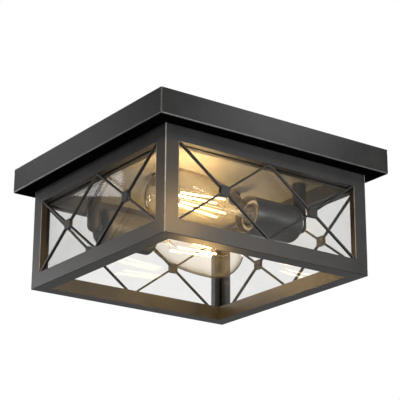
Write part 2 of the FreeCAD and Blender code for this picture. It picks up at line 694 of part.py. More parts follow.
def is_rim(radius, height):
    """Test for the round edge of some radius at some height on a turned body."""
    return lambda edge: (
        abs(edge.BoundBox.XLength - 2 * radius) < 0.01
        and abs(edge.BoundBox.ZMin - height) < 0.01
        and abs(edge.BoundBox.ZMax - height) < 0.01
    )


def make_socket_cup(lamp, sign):
    """Drawn sheet cup with a rounded closed end, round the lamp holder."""
    hole = "(dim.thread_radius + dim.hole_play)"
    outer, inner = "dim.cup_radius", "(dim.cup_radius - dim.cup_wall)"
    floor = "dim.cup_wall"
    length = f"(dim.cup_reach - {CUP_BACK})"
    body = turned(f"socket_cup_{lamp}_body", [
        (hole, "0"), (outer, "0"), (outer, length), (inner, length), (inner, floor), (hole, floor),
    ])
    wide, thin = cell("cup_radius"), cell("cup_wall")
    round_edges(body, f"socket_cup_{lamp}_outer", "dim.cup_corner", is_rim(wide, 0.0))
    round_edges(body, f"socket_cup_{lamp}_inner", f"dim.cup_corner - {floor}", is_rim(wide - thin, thin))
    put(body, along_lamp(sign, CUP_BACK), Y_AXIS, 90 * sign)
    finish(body, f"socket_cup_{lamp}")


def make_lamp_holder(lamp, sign):
    """Ceramic body with a well for the screw shell and a threaded back."""
    back, face = HOLDER_BACK, HOLDER_FACE
    thread = "(dim.thread_radius + dim.thread_play)"
    well = "(dim.shell_radius + dim.shell_wall + dim.thread_play)"
    throat = "(dim.shell_radius - 3 * dim.shell_wall - dim.contact_width / 2)"
    thread_end = f"({back} + dim.nipple_seat + dim.seat_gap)"
    throat_end = f"({SHELL_BACK} - dim.contact_well)"
    body = turned(f"lamp_holder_{lamp}_body", [
        (thread, back), ("dim.holder_radius", back), ("dim.holder_radius", face), (well, face),
        (well, SHELL_BACK), (throat, SHELL_BACK), (throat, throat_end), ("dim.thread_bore", throat_end),
        ("dim.thread_bore", thread_end), (thread, thread_end),
    ])
    put(body, along_lamp(sign, "0"), Y_AXIS, 90 * sign)
    finish(body, f"lamp_holder_{lamp}")


def make_screw_shell(lamp, sign):
    """Thin brass shell that a bulb's base screws into, with an inward foot."""
    inner = "dim.shell_radius"
    outer = "(dim.shell_radius + dim.shell_wall)"
    foot = "(dim.shell_radius - 2 * dim.shell_wall)"
    body = turned(f"screw_shell_{lamp}_body", [
        (foot, SHELL_BACK), (outer, SHELL_BACK), (outer, SHELL_MOUTH), (inner, SHELL_MOUTH),
        (inner, f"({SHELL_BACK} + dim.shell_wall)"), (foot, f"({SHELL_BACK} + dim.shell_wall)"),
    ])
    put(body, along_lamp(sign, "0"), Y_AXIS, 90 * sign)
    finish(body, f"screw_shell_{lamp}")


def make_contact_spring(lamp, sign):
    """Folded brass tongue at the bottom of the well, under the bulb's tip."""
    name = f"contact_spring_{lamp}"
    sheet_wall, width = "dim.shell_wall", "dim.contact_width"
    floor = f"({SHELL_BACK} - dim.contact_well)"
    top = f"({TIP_END} - dim.seat_gap - {sheet_wall})"
    x = f"{-sign} * dim.lamp_post_x"
    y = f"{sign} * dim.lamp_post_y - {width} / 2"
    pieces = []
    levels = (
        ("foot", floor, sheet_wall, f"-{width}", f"2 * {width}"),
        ("riser", floor, f"{top} + {sheet_wall} - {floor}", f"-{width}", sheet_wall),
        ("tongue", top, sheet_wall, f"-{width}", f"1.6 * {width}"),
    )
    for part, start, thickness, low, length in levels:
        near = start if sign > 0 else f"({start} + {thickness})"
        at = (f"{x} + {sign} * {near}", y, f"{LAMP_Z} + {low}")
        pieces.append(box(f"{name}_{part}", (thickness, width, length), at))
    finish(join(name, pieces), name)


# ---------------------------------------------------------------- bulbs


def make_bulb_base(lamp, sign):
    """Screw base with rolled threads, its glass insulator and its tip contact."""
    core, crest = "dim.base_core_radius", "dim.base_thread_radius"
    bore = "(dim.base_core_radius - dim.base_wall)"
    turn = 90 * sign
    corners = [(bore, BASE_RIM), (bore, BASE_BACK), (core, BASE_BACK)]
    for number in range(round(cell("base_turns"))):
        for radius, share in ((core, 0.1), (crest, 0.4), (crest, 0.6), (core, 0.9)):
            corners.append((radius, f"({BASE_BACK} + {number + share} * dim.base_pitch)"))
    corners.append((core, BASE_RIM))
    base = turned(f"bulb_base_{lamp}_body", corners)
    put(base, along_lamp(sign, "0"), Y_AXIS, turn)
    finish(base, f"bulb_base_{lamp}")
    insulator = turned(f"bulb_insulator_{lamp}_body", [
        ("0", TIP_SEAT), ("dim.tip_radius", TIP_SEAT), (core, f"({BASE_BACK} - dim.base_wall)"),
        (core, BASE_BACK), ("0", BASE_BACK),
    ])
    put(insulator, along_lamp(sign, "0"), Y_AXIS, turn)
    finish(insulator, f"bulb_insulator_{lamp}")
    tip = turned(f"bulb_tip_{lamp}_body", [
        ("0", TIP_END), ("dim.tip_radius / 2", TIP_END),
        ("dim.tip_radius", f"({TIP_END} + dim.tip_height / 2)"), ("dim.tip_radius", TIP_SEAT),
        ("0", TIP_SEAT),
    ])
    put(tip, along_lamp(sign, "0"), Y_AXIS, turn)
    finish(tip, f"bulb_tip_{lamp}")


def bulb_solid(offset):
    """Solid inside a bulb's outer surface, drawn in by an offset, on its own Z axis.

    The neck swells in one smooth curve to the full radius, and a half sphere closes the end.
    """
    neck = cell("base_core_radius") - cell("base_wall") - cell("seat_gap") - offset
    wide = cell("bulb_radius") - offset
    centre = cell("bulb_length") - cell("bulb_radius")
    start = -cell("neck_inset") - 2 * offset
    swell = cell("neck_straight")
    early = 0.12 * (centre - swell)
    late = 0.78 * (centre - swell)
    curve = Part.BezierCurve()
    curve.setPoles([
        FreeCAD.Vector(neck, 0, swell), FreeCAD.Vector(neck, 0, swell + early),
        FreeCAD.Vector(wide, 0, centre - late), FreeCAD.Vector(wide, 0, centre),
    ])
    middle = FreeCAD.Vector(wide * math.sqrt(0.5), 0, centre + wide * math.sqrt(0.5))
    end = FreeCAD.Vector(0, 0, centre + wide)
    edges = [
        Part.LineSegment(FreeCAD.Vector(0, 0, start), FreeCAD.Vector(neck, 0, start)).toShape(),
        Part.LineSegment(FreeCAD.Vector(neck, 0, start), FreeCAD.Vector(neck, 0, swell)).toShape(),
        curve.toShape(),
        Part.Arc(FreeCAD.Vector(wide, 0, centre), middle, end).toShape(),
        Part.LineSegment(end, FreeCAD.Vector(0, 0, start)).toShape(),
    ]
    return Part.Face(Part.Wire(edges)).revolve(ORIGIN, Z_AXIS, 360)


def strut(start, end, radius):
    """Round wire between two points."""
    return Part.makeCylinder(radius, (end - start).Length, start, end - start)


def place_on_lamp(label, shape, sign):
    """Make a sub-part of a shape whose Z axis is the lamp's axis, from the bulb's base on."""
    thing = doc.addObject("Part::Feature", label)
    thing.Shape = shape
    put(thing, along_lamp(sign, BASE_RIM), Y_AXIS, 90 * sign)
    finish(thing, label)


def filament_ends():
    """Both ends of each of the four filaments, on the bulb's own axis."""
    start, length = cell("filament_start"), cell("filament_length")
    wide, narrow = cell("filament_wide"), cell("filament_narrow")
    return [
        (FreeCAD.Vector(a * wide, b * wide, start), FreeCAD.Vector(a * narrow, b * narrow, start + length))
        for a in (-1, 1) for b in (-1, 1)
    ]


def make_bulb_inside(lamp, sign):
    """Glass stem, four filaments and the wires that carry them."""
    start = cell("filament_start")
    stem_end = start - 8
    stem = turned(f"bulb_stem_{lamp}_body", [
        ("0", "-dim.neck_inset"), (f"{NECK_RADIUS} - dim.bulb_glass - dim.thread_play", "-dim.neck_inset"),
        (f"{NECK_RADIUS} / 2", "dim.neck_straight"), (f"{NECK_RADIUS} / 3", "dim.filament_start - 14"),
        ("4 * dim.wire_radius", "dim.filament_start - 8"), ("0", "dim.filament_start - 8"),
    ])
    put(stem, along_lamp(sign, BASE_RIM), Y_AXIS, 90 * sign)
    finish(stem, f"bulb_stem_{lamp}")
    wire = cell("wire_radius")
    pin = 4 * wire
    hub = FreeCAD.Vector(0, 0, stem_end)
    top = FreeCAD.Vector(0, 0, start + cell("filament_length") + pin)
    sticks = []
    wires = [strut(hub, top, wire), Part.makeSphere(2 * wire, hub + FreeCAD.Vector(0, 0, 2 * wire))]
    for low, high in filament_ends():
        sticks.append(strut(low, high, cell("filament_radius")))
        along = (high - low).normalize()
        near, far = low - along * pin, high + along * pin
        wires += [strut(near, low, wire), strut(high, far, wire)]
        wires += [strut(hub + FreeCAD.Vector(0, 0, 2 * wire), near, wire), strut(top, far, wire)]
        wires += [Part.makeSphere(wire, near), Part.makeSphere(wire, far)]
    wires.append(Part.makeSphere(wire, top))
    place_on_lamp(f"bulb_filaments_{lamp}", Part.makeCompound(sticks), sign)
    place_on_lamp(f"bulb_wires_{lamp}", wires[0].multiFuse(wires[1:]).removeSplitter(), sign)


def make_bulb(lamp, sign):
    """Everything that unscrews with one bulb."""
    glass = bulb_solid(0.0).cut(bulb_solid(cell("bulb_glass")))
    place_on_lamp(f"bulb_glass_{lamp}", glass, sign)
    make_bulb_inside(lamp, sign)
    make_bulb_base(lamp, sign)


# ---------------------------------------------------------------- assembly and output


def check_document():
    """Stop if any object failed or any sub-part has no valid shape."""
    for thing in doc.Objects:
        if "Invalid" in thing.State or "Error" in thing.State:
            raise RuntimeError(f"{thing.Name} failed: {thing.State}")
    for thing in finished:
        if thing.Shape.isNull() or not thing.Shape.isValid() or not thing.Shape.Solids:
            raise RuntimeError(f"{thing.Label} has no valid solid")


def write_parts():
    """Write one STEP file for each sub-part."""
    os.makedirs("parts", exist_ok=True)
    for thing in finished:
        thing.Shape.exportStep(f"parts/{thing.Label}.step")
        print(f"{thing.Label}: {len(thing.Shape.Solids)} solids, {thing.Shape.Volume:.1f} mm3")


sheet = make_sheet()
make_canopy()
make_crossbar()
make_studs()
make_screws()
frame_envelope = make_envelope()
make_rails(frame_envelope)
make_corner_posts(frame_envelope)
make_panes()
for side_name, side_turn in SIDES.items():
    make_lattice(side_name, side_turn)
make_nipples_and_nuts()
for lamp_name, lamp_sign in LAMPS.items():
    make_lamp_post(lamp_name, lamp_sign)
    make_socket_cup(lamp_name, lamp_sign)
    make_lamp_holder(lamp_name, lamp_sign)
    make_screw_shell(lamp_name, lamp_sign)
    make_contact_spring(lamp_name, lamp_sign)
    make_bulb(lamp_name, lamp_sign)
doc.recompute()
check_document()
write_parts()
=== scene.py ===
"""Square porch ceiling lantern: finishes, turned and bent pieces, lit bulbs, studio and camera.

Every length is in metres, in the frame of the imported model: the origin is the centre of the
ceiling plane, +Z points up and the front window faces -Y.
"""

import logging
import math
from dataclasses import dataclass
from enum import Enum
from typing import Iterable, Optional, Sequence, Union

import bmesh
import bpy
from mathutils import Matrix, Vector


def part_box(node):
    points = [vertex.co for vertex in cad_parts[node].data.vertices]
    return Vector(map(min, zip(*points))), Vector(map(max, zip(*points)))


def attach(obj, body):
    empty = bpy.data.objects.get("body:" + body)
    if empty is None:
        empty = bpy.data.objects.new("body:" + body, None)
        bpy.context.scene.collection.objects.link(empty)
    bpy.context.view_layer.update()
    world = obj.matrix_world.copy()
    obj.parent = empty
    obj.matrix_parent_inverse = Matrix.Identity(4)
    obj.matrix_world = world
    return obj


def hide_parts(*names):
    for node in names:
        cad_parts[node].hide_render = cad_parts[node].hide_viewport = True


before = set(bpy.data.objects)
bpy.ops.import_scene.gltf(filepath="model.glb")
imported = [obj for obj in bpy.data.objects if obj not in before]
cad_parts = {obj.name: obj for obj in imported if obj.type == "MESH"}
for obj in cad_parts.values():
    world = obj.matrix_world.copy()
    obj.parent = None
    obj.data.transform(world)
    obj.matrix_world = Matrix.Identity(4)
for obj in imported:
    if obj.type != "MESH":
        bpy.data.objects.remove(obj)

MM = 0.001
SAME_POINT = 1e-7
CLEAR_LAYERS = 32
POST_RADIUS = 8.0 * MM
WHITE = (1, 1, 1, 1)
log = logging.getLogger("porch_lantern")
Node = bpy.types.Node
Points = list[tuple[float, float]]
Term = Union["Wire", float]


class Named(Enum):
    """Members with a name that nodes are called by."""

    @property
    def word(self) -> str:
        """The member's name as the nodes spell it."""
        return self.name.lower()


class Side(Named):
    """A window's side, with its turn about the vertical axis in degrees."""

    FRONT = 0
    RIGHT = 90
    BACK = 180
    LEFT = 270


class LampEnd(Named):
    """One of the two lamps. Its value is the direction along X in which the bulb points."""

    FRONT = -1
    BACK = 1


# ------------------------------------------------------------------ node trees and their maths


class Wire:
    """A value socket that takes part in Python arithmetic."""

    def __init__(self, nodes: "Nodes", socket: bpy.types.NodeSocket) -> None:
        """Wrap an output socket of a node tree."""
        self.nodes = nodes
        self.socket = socket

    def _math(self, operation: str, first: Term, second: Term) -> "Wire":
        """Add one Math node and wrap its result."""
        node = self.nodes.add("ShaderNodeMath", {"operation": operation}, {0: first, 1: second})
        return Wire(self.nodes, node.outputs[0])

    def __add__(self, other: Term) -> "Wire":
        """Sum."""
        return self._math("ADD", self, other)

    def __radd__(self, other: Term) -> "Wire":
        """Sum with a number in front."""
        return self._math("ADD", other, self)

    def __sub__(self, other: Term) -> "Wire":
        """Difference."""
        return self._math("SUBTRACT", self, other)

    def __rsub__(self, other: Term) -> "Wire":
        """Difference with a number in front."""
        return self._math("SUBTRACT", other, self)

    def __mul__(self, other: Term) -> "Wire":
        """Product."""
        return self._math("MULTIPLY", self, other)

    def __rmul__(self, other: Term) -> "Wire":
        """Product with a number in front."""
        return self._math("MULTIPLY", other, self)

    def __truediv__(self, other: Term) -> "Wire":
        """Quotient."""
        return self._math("DIVIDE", self, other)

    def __rtruediv__(self, other: Term) -> "Wire":
        """Quotient with a number in front."""
        return self._math("DIVIDE", other, self)

    def __pow__(self, other: Term) -> "Wire":
        """Power."""
        return self._math("POWER", self, other)

    def __abs__(self) -> "Wire":
        """Absolute value."""
        return self._math("ABSOLUTE", self, 0.0)

    def least(self, other: Term) -> "Wire":
        """The smaller of two values."""
        return self._math("MINIMUM", self, other)

    def most(self, other: Term) -> "Wire":
        """The larger of two values."""
        return self._math("MAXIMUM", self, other)


class Nodes:
    """A node tree, with one method that adds any node."""

    def __init__(self, tree: bpy.types.NodeTree) -> None:
        """Start from an empty tree."""
        self.tree = tree
        self.tree.nodes.clear()

    def add(self, kind: str, settings: Optional[dict] = None, values: Optional[dict] = None) -> Node:
        """Add a node.

        Args:
            kind: The node's type.
            settings: Properties that are set first.
            values: Value, wire or socket for each input, by name or number.

        Returns:
            The new node.
        """
        node = self.tree.nodes.new(kind)
        for key, value in (settings or {}).items():
            setattr(node, key, value)
        for key, value in (values or {}).items():
            if isinstance(value, Wire):
                value = value.socket
            if isinstance(value, bpy.types.NodeSocket):
                self.tree.links.new(value, node.inputs[key])
            else:
                node.inputs[key].default_value = value
        return node

    def share_out(self, share: Union[Term, bpy.types.NodeSocket], first: Node, second: Node) -> Node:
        """Mix two shaders: the first at a share of 0, the second at 1."""
        return self.add("ShaderNodeMixShader", {}, {0: share, 1: first.outputs[0], 2: second.outputs[0]})


# ------------------------------------------------------------------ finishes


class Graph(Nodes):
    """The node tree of one material."""

    def __init__(self, name: str) -> None:
        """Make an empty material.

        Args:
            name: The material's name.
        """
        self.material = bpy.data.materials.new(name)
        self.material.use_nodes = True
        super().__init__(self.material.node_tree)

    def place(self) -> bpy.types.NodeSocket:
        """Object coordinates."""
        return self.add("ShaderNodeTexCoord").outputs["Object"]

    def axes(self) -> tuple[Wire, Wire, Wire]:
        """The three object coordinates, one by one."""
        split = self.add("ShaderNodeSeparateXYZ", {}, {0: self.place()})
        return tuple(Wire(self, socket) for socket in split.outputs)

    def noise(
        self, scale: float, detail: float = 2.0, roughness: float = 0.5, stretch: Sequence[float] = (1, 1, 1),
    ) -> Wire:
        """Add a noise on object coordinates.

        Args:
            scale: Noise scale, per metre.
            detail: Octaves.
            roughness: Share of the finer octaves.
            stretch: Scale along each axis, on top of the noise's own.

        Returns:
            The noise's factor.
        """
        spot = self.add("ShaderNodeMapping", {}, {"Vector": self.place(), "Scale": tuple(stretch)})
        values = {"Vector": spot.outputs[0], "Scale": scale, "Detail": detail, "Roughness": roughness}
        return Wire(self, self.add("ShaderNodeTexNoise", {}, values).outputs[0])

    def blend(self, share: Term, first: tuple, second: tuple) -> bpy.types.NodeSocket:
        """Mix two colours: the first at a share of 0, the second at 1."""
        return self.add("ShaderNodeMix", {"data_type": "RGBA"}, {0: share, 6: first, 7: second}).outputs[2]

    def band(self, value: Term, low: float, high: float, start: float = 0.0, end: float = 1.0) -> Wire:
        """Spread a value's range from low to high over start to end, clamped."""
        node = self.add("ShaderNodeMapRange", {"clamp": True}, {0: value, 1: low, 2: high, 3: start, 4: end})
        return Wire(self, node.outputs[0])

    def bump(self, height: Term, strength: float, distance: float) -> bpy.types.NodeSocket:
        """Bumped normal of a height from 0 to 1 that stands for a distance in metres."""
        values = {"Height": height, "Strength": strength, "Distance": distance}
        return self.add("ShaderNodeBump", {}, values).outputs[0]

    def principled(self, values: dict) -> Node:
        """Add a principled shader with some of its inputs."""
        return self.add("ShaderNodeBsdfPrincipled", {}, values)

    def finish(self, shader: Node) -> bpy.types.Material:
        """Show a shader and hand out the material."""
        self.add("ShaderNodeOutputMaterial", {}, {0: shader.outputs[0]})
        return self.material


@dataclass(frozen=True)
class Paint:
    """Satin powder coat: nearly black, with a fine orange peel, uneven gloss and pale edge lines that are
    painted highlights.

    The painted edge highlights need the box's half width (corner), and take a lower edge (foot) or the line
    where posts fold round the corner (stile). With a ceiling half width, the pan's lower face has a paler
    coat inside the frame that is painted lamp light, and a near-black matt one outside it that is painted
    shade.
    """

    name: str
    dark: tuple = (0.0062, 0.0060, 0.0057, 1)
    light: tuple = (0.0118, 0.0114, 0.0108, 1)
    smooth: float = 0.33
    rough: float = 0.42
    ior: float = 1.33
    cloud_scale: float = 38.0
    grain_scale: float = 1500.0
    speck_scale: float = 900.0
    peel: float = 0.10
    peel_height: float = 0.06 * MM
    # Pale colour of the edge and fold lines: a painted highlight where rounded edges would catch the light.
    edge_highlight: tuple = (0.42, 0.40, 0.375, 1)
    corner: float = 0.0
    highlight_width: float = 1.0 * MM
    foot: float = 0.0
    stile: float = 0.0
    window_middle: float = -86.65 * MM
    window_reach: float = 41.0 * MM
    foot_highlight: float = 0.5
    fold_highlight: float = 0.45
    highlight_scale: float = 160.0
    ceiling: float = 0.0
    ceiling_blur: float = 4.0 * MM
    # Paler coat of the ceiling inside the frame: painted lamp light. Near-black coat of the lower face
    # outside it: painted shade.
    baked: tuple = (0.075, 0.074, 0.07, 1)
    shaded: tuple = (0.0024, 0.0022, 0.0020, 1)

    def edges(self, graph: Graph) -> Wire:
        """Where pale edge lines are painted as highlights.

        Args:
            graph: The material's graph.

        Returns:
            1 on a painted edge highlight and 0 elsewhere.
        """
        x, y, z = graph.axes()
        near, far = abs(x).least(abs(y)), abs(x).most(abs(y))
        rim = graph.band(far, self.corner - self.highlight_width, self.corner - 0.4 * self.highlight_width)
        upright = graph.band(near, self.corner - self.highlight_width, self.corner - 0.5 * self.highlight_width)
        painted_highlight = upright * rim
        if self.foot:
            low = graph.band(z, self.foot + self.highlight_width, self.foot + 0.5 * self.highlight_width)
            painted_highlight = painted_highlight.most(low * rim * self.foot_highlight)
        if self.stile:
            fold = graph.band(abs(near - self.stile), 0.25 * self.highlight_width, 0.6 * self.highlight_width, 1.0, 0.0)
            height, reach = abs(z - self.window_middle), self.window_reach
            beside = graph.band(height, reach, reach + self.highlight_width, 1.0, 0.0)
            painted_highlight = painted_highlight.most(fold * beside * rim * self.fold_highlight)
        return painted_highlight * graph.band(graph.noise(self.highlight_scale, 2.0), 0.3, 0.6, 0.7, 1.0)

    def underside(self, graph: Graph) -> tuple[Wire, Wire]:
        """Where the pan's lower face is, for its painted lamp light and its painted shade.

        Args:
            graph: The material's graph.

        Returns:
            1 on the lower face inside the frame, and 1 on the whole lower face.
        """
        x, y, z = graph.axes()
        below = graph.band(z, self.foot + 0.8 * MM, self.foot + 0.4 * MM)
        inside = graph.band(abs(x).most(abs(y)), self.ceiling - self.ceiling_blur, self.ceiling, 1.0, 0.0)
        skin = graph.band(z, self.foot + 0.3 * MM, self.foot + 0.1 * MM)
        return inside * below, skin

    def make(self) -> bpy.types.Material:
        """Build the material.

        Returns:
            The new material.
        """
        graph = Graph(self.name)
        cloud = graph.noise(self.cloud_scale, 3.0, 0.55)
        grain = graph.noise(self.grain_scale, 2.0, 0.6)
        speck = graph.band(graph.noise(self.speck_scale, 1.0), 0.66, 0.74)
        colour = graph.blend(graph.band(cloud * 0.7 + grain * 0.3, 0.35, 0.68), self.dark, self.light)
        gloss = graph.band(cloud * 0.6 + grain * 0.4, 0.3, 0.7, self.smooth, self.rough) + speck * 0.05
        # Painted lamp light: the pan's lower face inside the frame takes a paler coat.
        if self.ceiling:
            inside, skin = self.underside(graph)
            colour = graph.blend(inside * graph.band(cloud, 0.3, 0.7, 0.75, 1.0), colour, self.baked)
            gloss = gloss - inside * 0.05
        # Painted highlight: pale lines along the edges and folds.
        if self.corner:
            colour = graph.blend(self.edges(graph), colour, self.edge_highlight)
        peel = graph.bump(grain, self.peel, self.peel_height)
        shader = graph.principled({"Base Color": colour, "Roughness": gloss, "IOR": self.ior, "Normal": peel})
        # Painted shade: outside the frame, the pan's lower face is a near-black matt coat.
        if self.ceiling:
            painted_shade = graph.add("ShaderNodeBsdfDiffuse", {}, {"Color": self.shaded})
            shader = graph.share_out(skin * (1.0 - inside), shader, painted_shade)
        return graph.finish(shader)


@dataclass(frozen=True)
class Plate:
    """Plated or bare metal with fine turning or drawing marks and dull patches."""

    name: str
    pale: tuple
    dull: tuple
    smooth: float
    rough: float
    patch_scale: float = 90.0
    grain_scale: float = 900.0
    mark_height: float = 0.04 * MM

    def make(self) -> bpy.types.Material:
        """Build the material.

        Returns:
            The new material.
        """
        graph = Graph(self.name)
        patch = graph.noise(self.patch_scale, 4.0, 0.6)
        grain = graph.noise(self.grain_scale, 2.0, 0.5)
        colour = graph.blend(graph.band(patch * 0.7 + grain * 0.3, 0.4, 0.65), self.pale, self.dull)
        gloss = graph.band(patch * 0.5 + grain * 0.5, 0.3, 0.7, self.smooth, self.rough)
        marks = graph.bump(grain, 0.12, self.mark_height)
        values = {"Base Color": colour, "Metallic": 1.0, "Roughness": gloss, "Normal": marks}
        return graph.finish(graph.principled(values))


@dataclass(frozen=True)
class Glaze:
    """Glazed ceramic or vitreous glass: an even colour under a glossy, slightly wavy skin."""

    name: str
    body: tuple
    tint: tuple
    smooth: float = 0.16
    rough: float = 0.28
    cloud_scale: float = 120.0
    pore_scale: float = 2200.0
    wave_height: float = 0.1 * MM

    def make(self) -> bpy.types.Material:
        """Build the material.

        Returns:
            The new material.
        """
        graph = Graph(self.name)
        cloud = graph.noise(self.cloud_scale, 3.0)
        pore = graph.band(graph.noise(self.pore_scale, 1.0), 0.7, 0.78)
        gloss = graph.band(cloud, 0.3, 0.7, self.smooth, self.rough) + pore * 0.1
        return graph.finish(graph.principled({
            "Base Color": graph.blend(graph.band(cloud, 0.35, 0.7), self.body, self.tint),
            "Roughness": gloss, "Coat Weight": 0.4, "Coat Roughness": 0.08,
            "Normal": graph.bump(cloud - pore * 0.3, 0.15, self.wave_height),
        }))


@dataclass(frozen=True)
class ClearGlass:
    """Thin clear glass: it mirrors more at a slant, darkens at its outline and carries a faint film."""

    name: str
    tint: tuple
    outline: tuple
    film: float
    film_colour: tuple = (0.62, 0.61, 0.58, 1)
    streak: tuple = (1, 1, 1)
    streak_scale: float = 26.0
    head_on: float = 0.04
    mirror: tuple = WHITE

    def make(self) -> bpy.types.Material:
        """Build the material.

        Returns:
            The new material.
        """
        graph = Graph(self.name)
        slant = Wire(graph, graph.add("ShaderNodeLayerWeight", {}, {"Blend": 0.5}).outputs["Facing"])
        clear = graph.add("ShaderNodeBsdfTransparent", {}, {"Color": self.tint})
        dim = graph.add("ShaderNodeBsdfTransparent", {}, {"Color": self.outline})
        body = graph.share_out(slant ** 3 * 0.9, clear, dim)
        mirror = graph.add("ShaderNodeBsdfGlossy", {}, {"Color": self.mirror, "Roughness": 0.02})
        glass = graph.share_out(slant ** 5 * (1 - self.head_on) + self.head_on, body, mirror)
        dust = graph.add("ShaderNodeBsdfDiffuse", {}, {"Color": self.film_colour})
        haze = graph.add("ShaderNodeBsdfTranslucent", {}, {"Color": self.film_colour})
        film = graph.share_out(0.6, dust, haze)
        streaks = graph.noise(self.streak_scale, 3.0, 0.6, self.streak)
        share = graph.band(streaks, 0.38, 0.7, self.film * 0.3, self.film)
        return graph.finish(graph.share_out(share, glass, film))


@dataclass(frozen=True)
class Glow:
    """Lit filament: a warm coating that glows, a little uneven along its length."""

    name: str
    colour: tuple
    hot: tuple
    coating: tuple
    strength: float
    bead_scale: float = 700.0

    def make(self) -> bpy.types.Material:
        """Build the material.

        Returns:
            The new material.
        """
        graph = Graph(self.name)
        beads = graph.band(graph.noise(self.bead_scale, 1.0), 0.35, 0.65)
        return graph.finish(graph.principled({
            "Base Color": self.coating, "Roughness": 0.5,
            "Emission Color": graph.blend(beads, self.colour, self.hot), "Emission Strength": self.strength,
        }))


class Finish(Enum):
    """Every finish of the lantern."""

    # The pan's and frame's pale edge lines are painted highlights.
    PAN = Paint(
        "pan_black_paint", smooth=0.25, rough=0.31, corner=152.5 * MM, highlight_width=1.6 * MM, foot=-28.5 * MM,
        ceiling=126.0 * MM, edge_highlight=(0.16, 0.152, 0.145, 1), peel=0.05,
    )
    FRAME = Paint("frame_black_paint", smooth=0.38, rough=0.46, corner=133.8 * MM, stile=117.0 * MM)
    BLACK = Paint("satin_black_paint")
    LATTICE = Paint("lattice_black_paint", dark=(0.004, 0.0039, 0.0037, 1), light=(0.0095, 0.0091, 0.0085, 1))
    CUP = Paint("cup_grey_paint", dark=(0.024, 0.0235, 0.023, 1), light=(0.038, 0.037, 0.036, 1), peel=0.03)
    PANE = ClearGlass(
        "window_pane_glass", (0.95, 0.95, 0.947, 1), (0.6, 0.62, 0.62, 1), film=0.014, streak=(1, 1, 0.16),
    )
    BULB = ClearGlass(
        "bulb_clear_glass", (0.995, 0.988, 0.97, 1), (0.52, 0.42, 0.29, 1), film=0.004, streak_scale=60.0,
        head_on=0.02, mirror=(0.5, 0.5, 0.5, 1),
    )
    STEM = ClearGlass(
        "bulb_stem_glass", (0.97, 0.96, 0.94, 1), (0.6, 0.56, 0.48, 1), film=0.6, streak_scale=200.0,
    )
    ZINC = Plate("zinc_plated_steel", (0.62, 0.63, 0.65, 1), (0.42, 0.43, 0.44, 1), 0.28, 0.5)
    NICKEL = Plate("nickel_plated_base", (0.74, 0.72, 0.68, 1), (0.58, 0.56, 0.52, 1), 0.16, 0.32)
    BRASS = Plate("bright_brass", (0.86, 0.66, 0.32, 1), (0.62, 0.44, 0.18, 1), 0.2, 0.38)
    WIRE = Plate("support_wire", (0.7, 0.62, 0.5, 1), (0.5, 0.42, 0.32, 1), 0.25, 0.4, grain_scale=2500.0)
    GREEN = Plate("green_dyed_steel", (0.06, 0.34, 0.14, 1), (0.03, 0.2, 0.08, 1), 0.3, 0.5)
    CERAMIC = Glaze("ivory_glazed_ceramic", (0.80, 0.74, 0.60, 1), (0.70, 0.63, 0.48, 1))
    VITREOUS = Glaze("black_vitreous_glass", (0.02, 0.02, 0.028, 1), (0.035, 0.03, 0.04, 1))
    GLOW = Glow("lit_filament", (1.0, 0.60, 0.20, 1), (1.0, 0.8, 0.46, 1), (0.9, 0.66, 0.3, 1), 5.5)

    @property
    def material(self) -> bpy.types.Material:
        """The finish's material, made when it is first used."""
        return bpy.data.materials.get(self.value.name) or self.value.make()


# ------------------------------------------------------------------ meshes, objects and lights


def as_mesh(name: str, shape: bmesh.types.BMesh) -> bpy.types.Mesh:
    """Turn a bmesh into a mesh.

    Args:
        name: The mesh's name.
        shape: The bmesh, which is used up.

    Returns:
        The mesh.
    """
    mesh = bpy.data.meshes.new(name)
    shape.to_mesh(mesh)
    shape.free()
    return mesh


def linked(name: str, data: bpy.types.ID) -> bpy.types.Object:
    """Make an object and link it to the scene.

    Args:
        name: The object's name.
        data: Its mesh, light or camera.

    Returns:
        The object.
    """
    thing = bpy.data.objects.new(name, data)
    bpy.context.scene.collection.objects.link(thing)
    return thing


def place_mesh(name: str, mesh: bpy.types.Mesh, finish: Finish, sharp: float = 32.0) -> bpy.types.Object:
    """Link a mesh as an object with smooth faces and one finish.

    Args:
        name: The piece's name.
        mesh: The mesh.
        finish: The piece's finish.
        sharp: Edges sharper than this angle, in degrees, stay sharp.

    Returns:
        The object.
    """
    mesh.shade_smooth()
    mesh.set_sharp_from_angle(angle=math.radians(sharp))
    mesh.materials.clear()
    mesh.materials.append(finish.material)
    return linked(name, mesh)


def mesh_piece(name: str, shape: bmesh.types.BMesh, finish: Finish, sharp: float = 32.0) -> bpy.types.Object:
    """Turn a bmesh into a finished object at the origin.

    Args:
        name: The piece's name.
        shape: The bmesh, which is used up.
        finish: The piece's finish.
        sharp: Edges sharper than this angle, in degrees, stay sharp.

    Returns:
        The object.
    """
    bmesh.ops.remove_doubles(shape, verts=shape.verts, dist=SAME_POINT)
    bmesh.ops.recalc_face_normals(shape, faces=shape.faces)
    return place_mesh(name, as_mesh(name, shape), finish, sharp)


def round_angles(steps: int) -> list[float]:
    """Angles of even steps round a circle."""
    return [2 * math.pi * step / steps for step in range(steps)]


def skin(shape: bmesh.types.BMesh, rings: list[list], closed: bool) -> None:
    """Span faces between neighbouring rings of points.

    Args:
        shape: The bmesh to add to.
        rings: The rings. One that has a single point is a pole.
        closed: Whether the last ring joins the first.
    """
    steps = max(len(ring) for ring in rings)
    for low, high in zip(rings, rings[1:] + rings[:1] if closed else rings[1:]):
        for step in range(steps):
            after = (step + 1) % steps
            corners = [low[step % len(low)], low[after % len(low)]]
            corners += [high[after % len(high)], high[step % len(high)]]
            unique = list(dict.fromkeys(corners))
            if len(unique) > 2:
                shape.faces.new(unique)


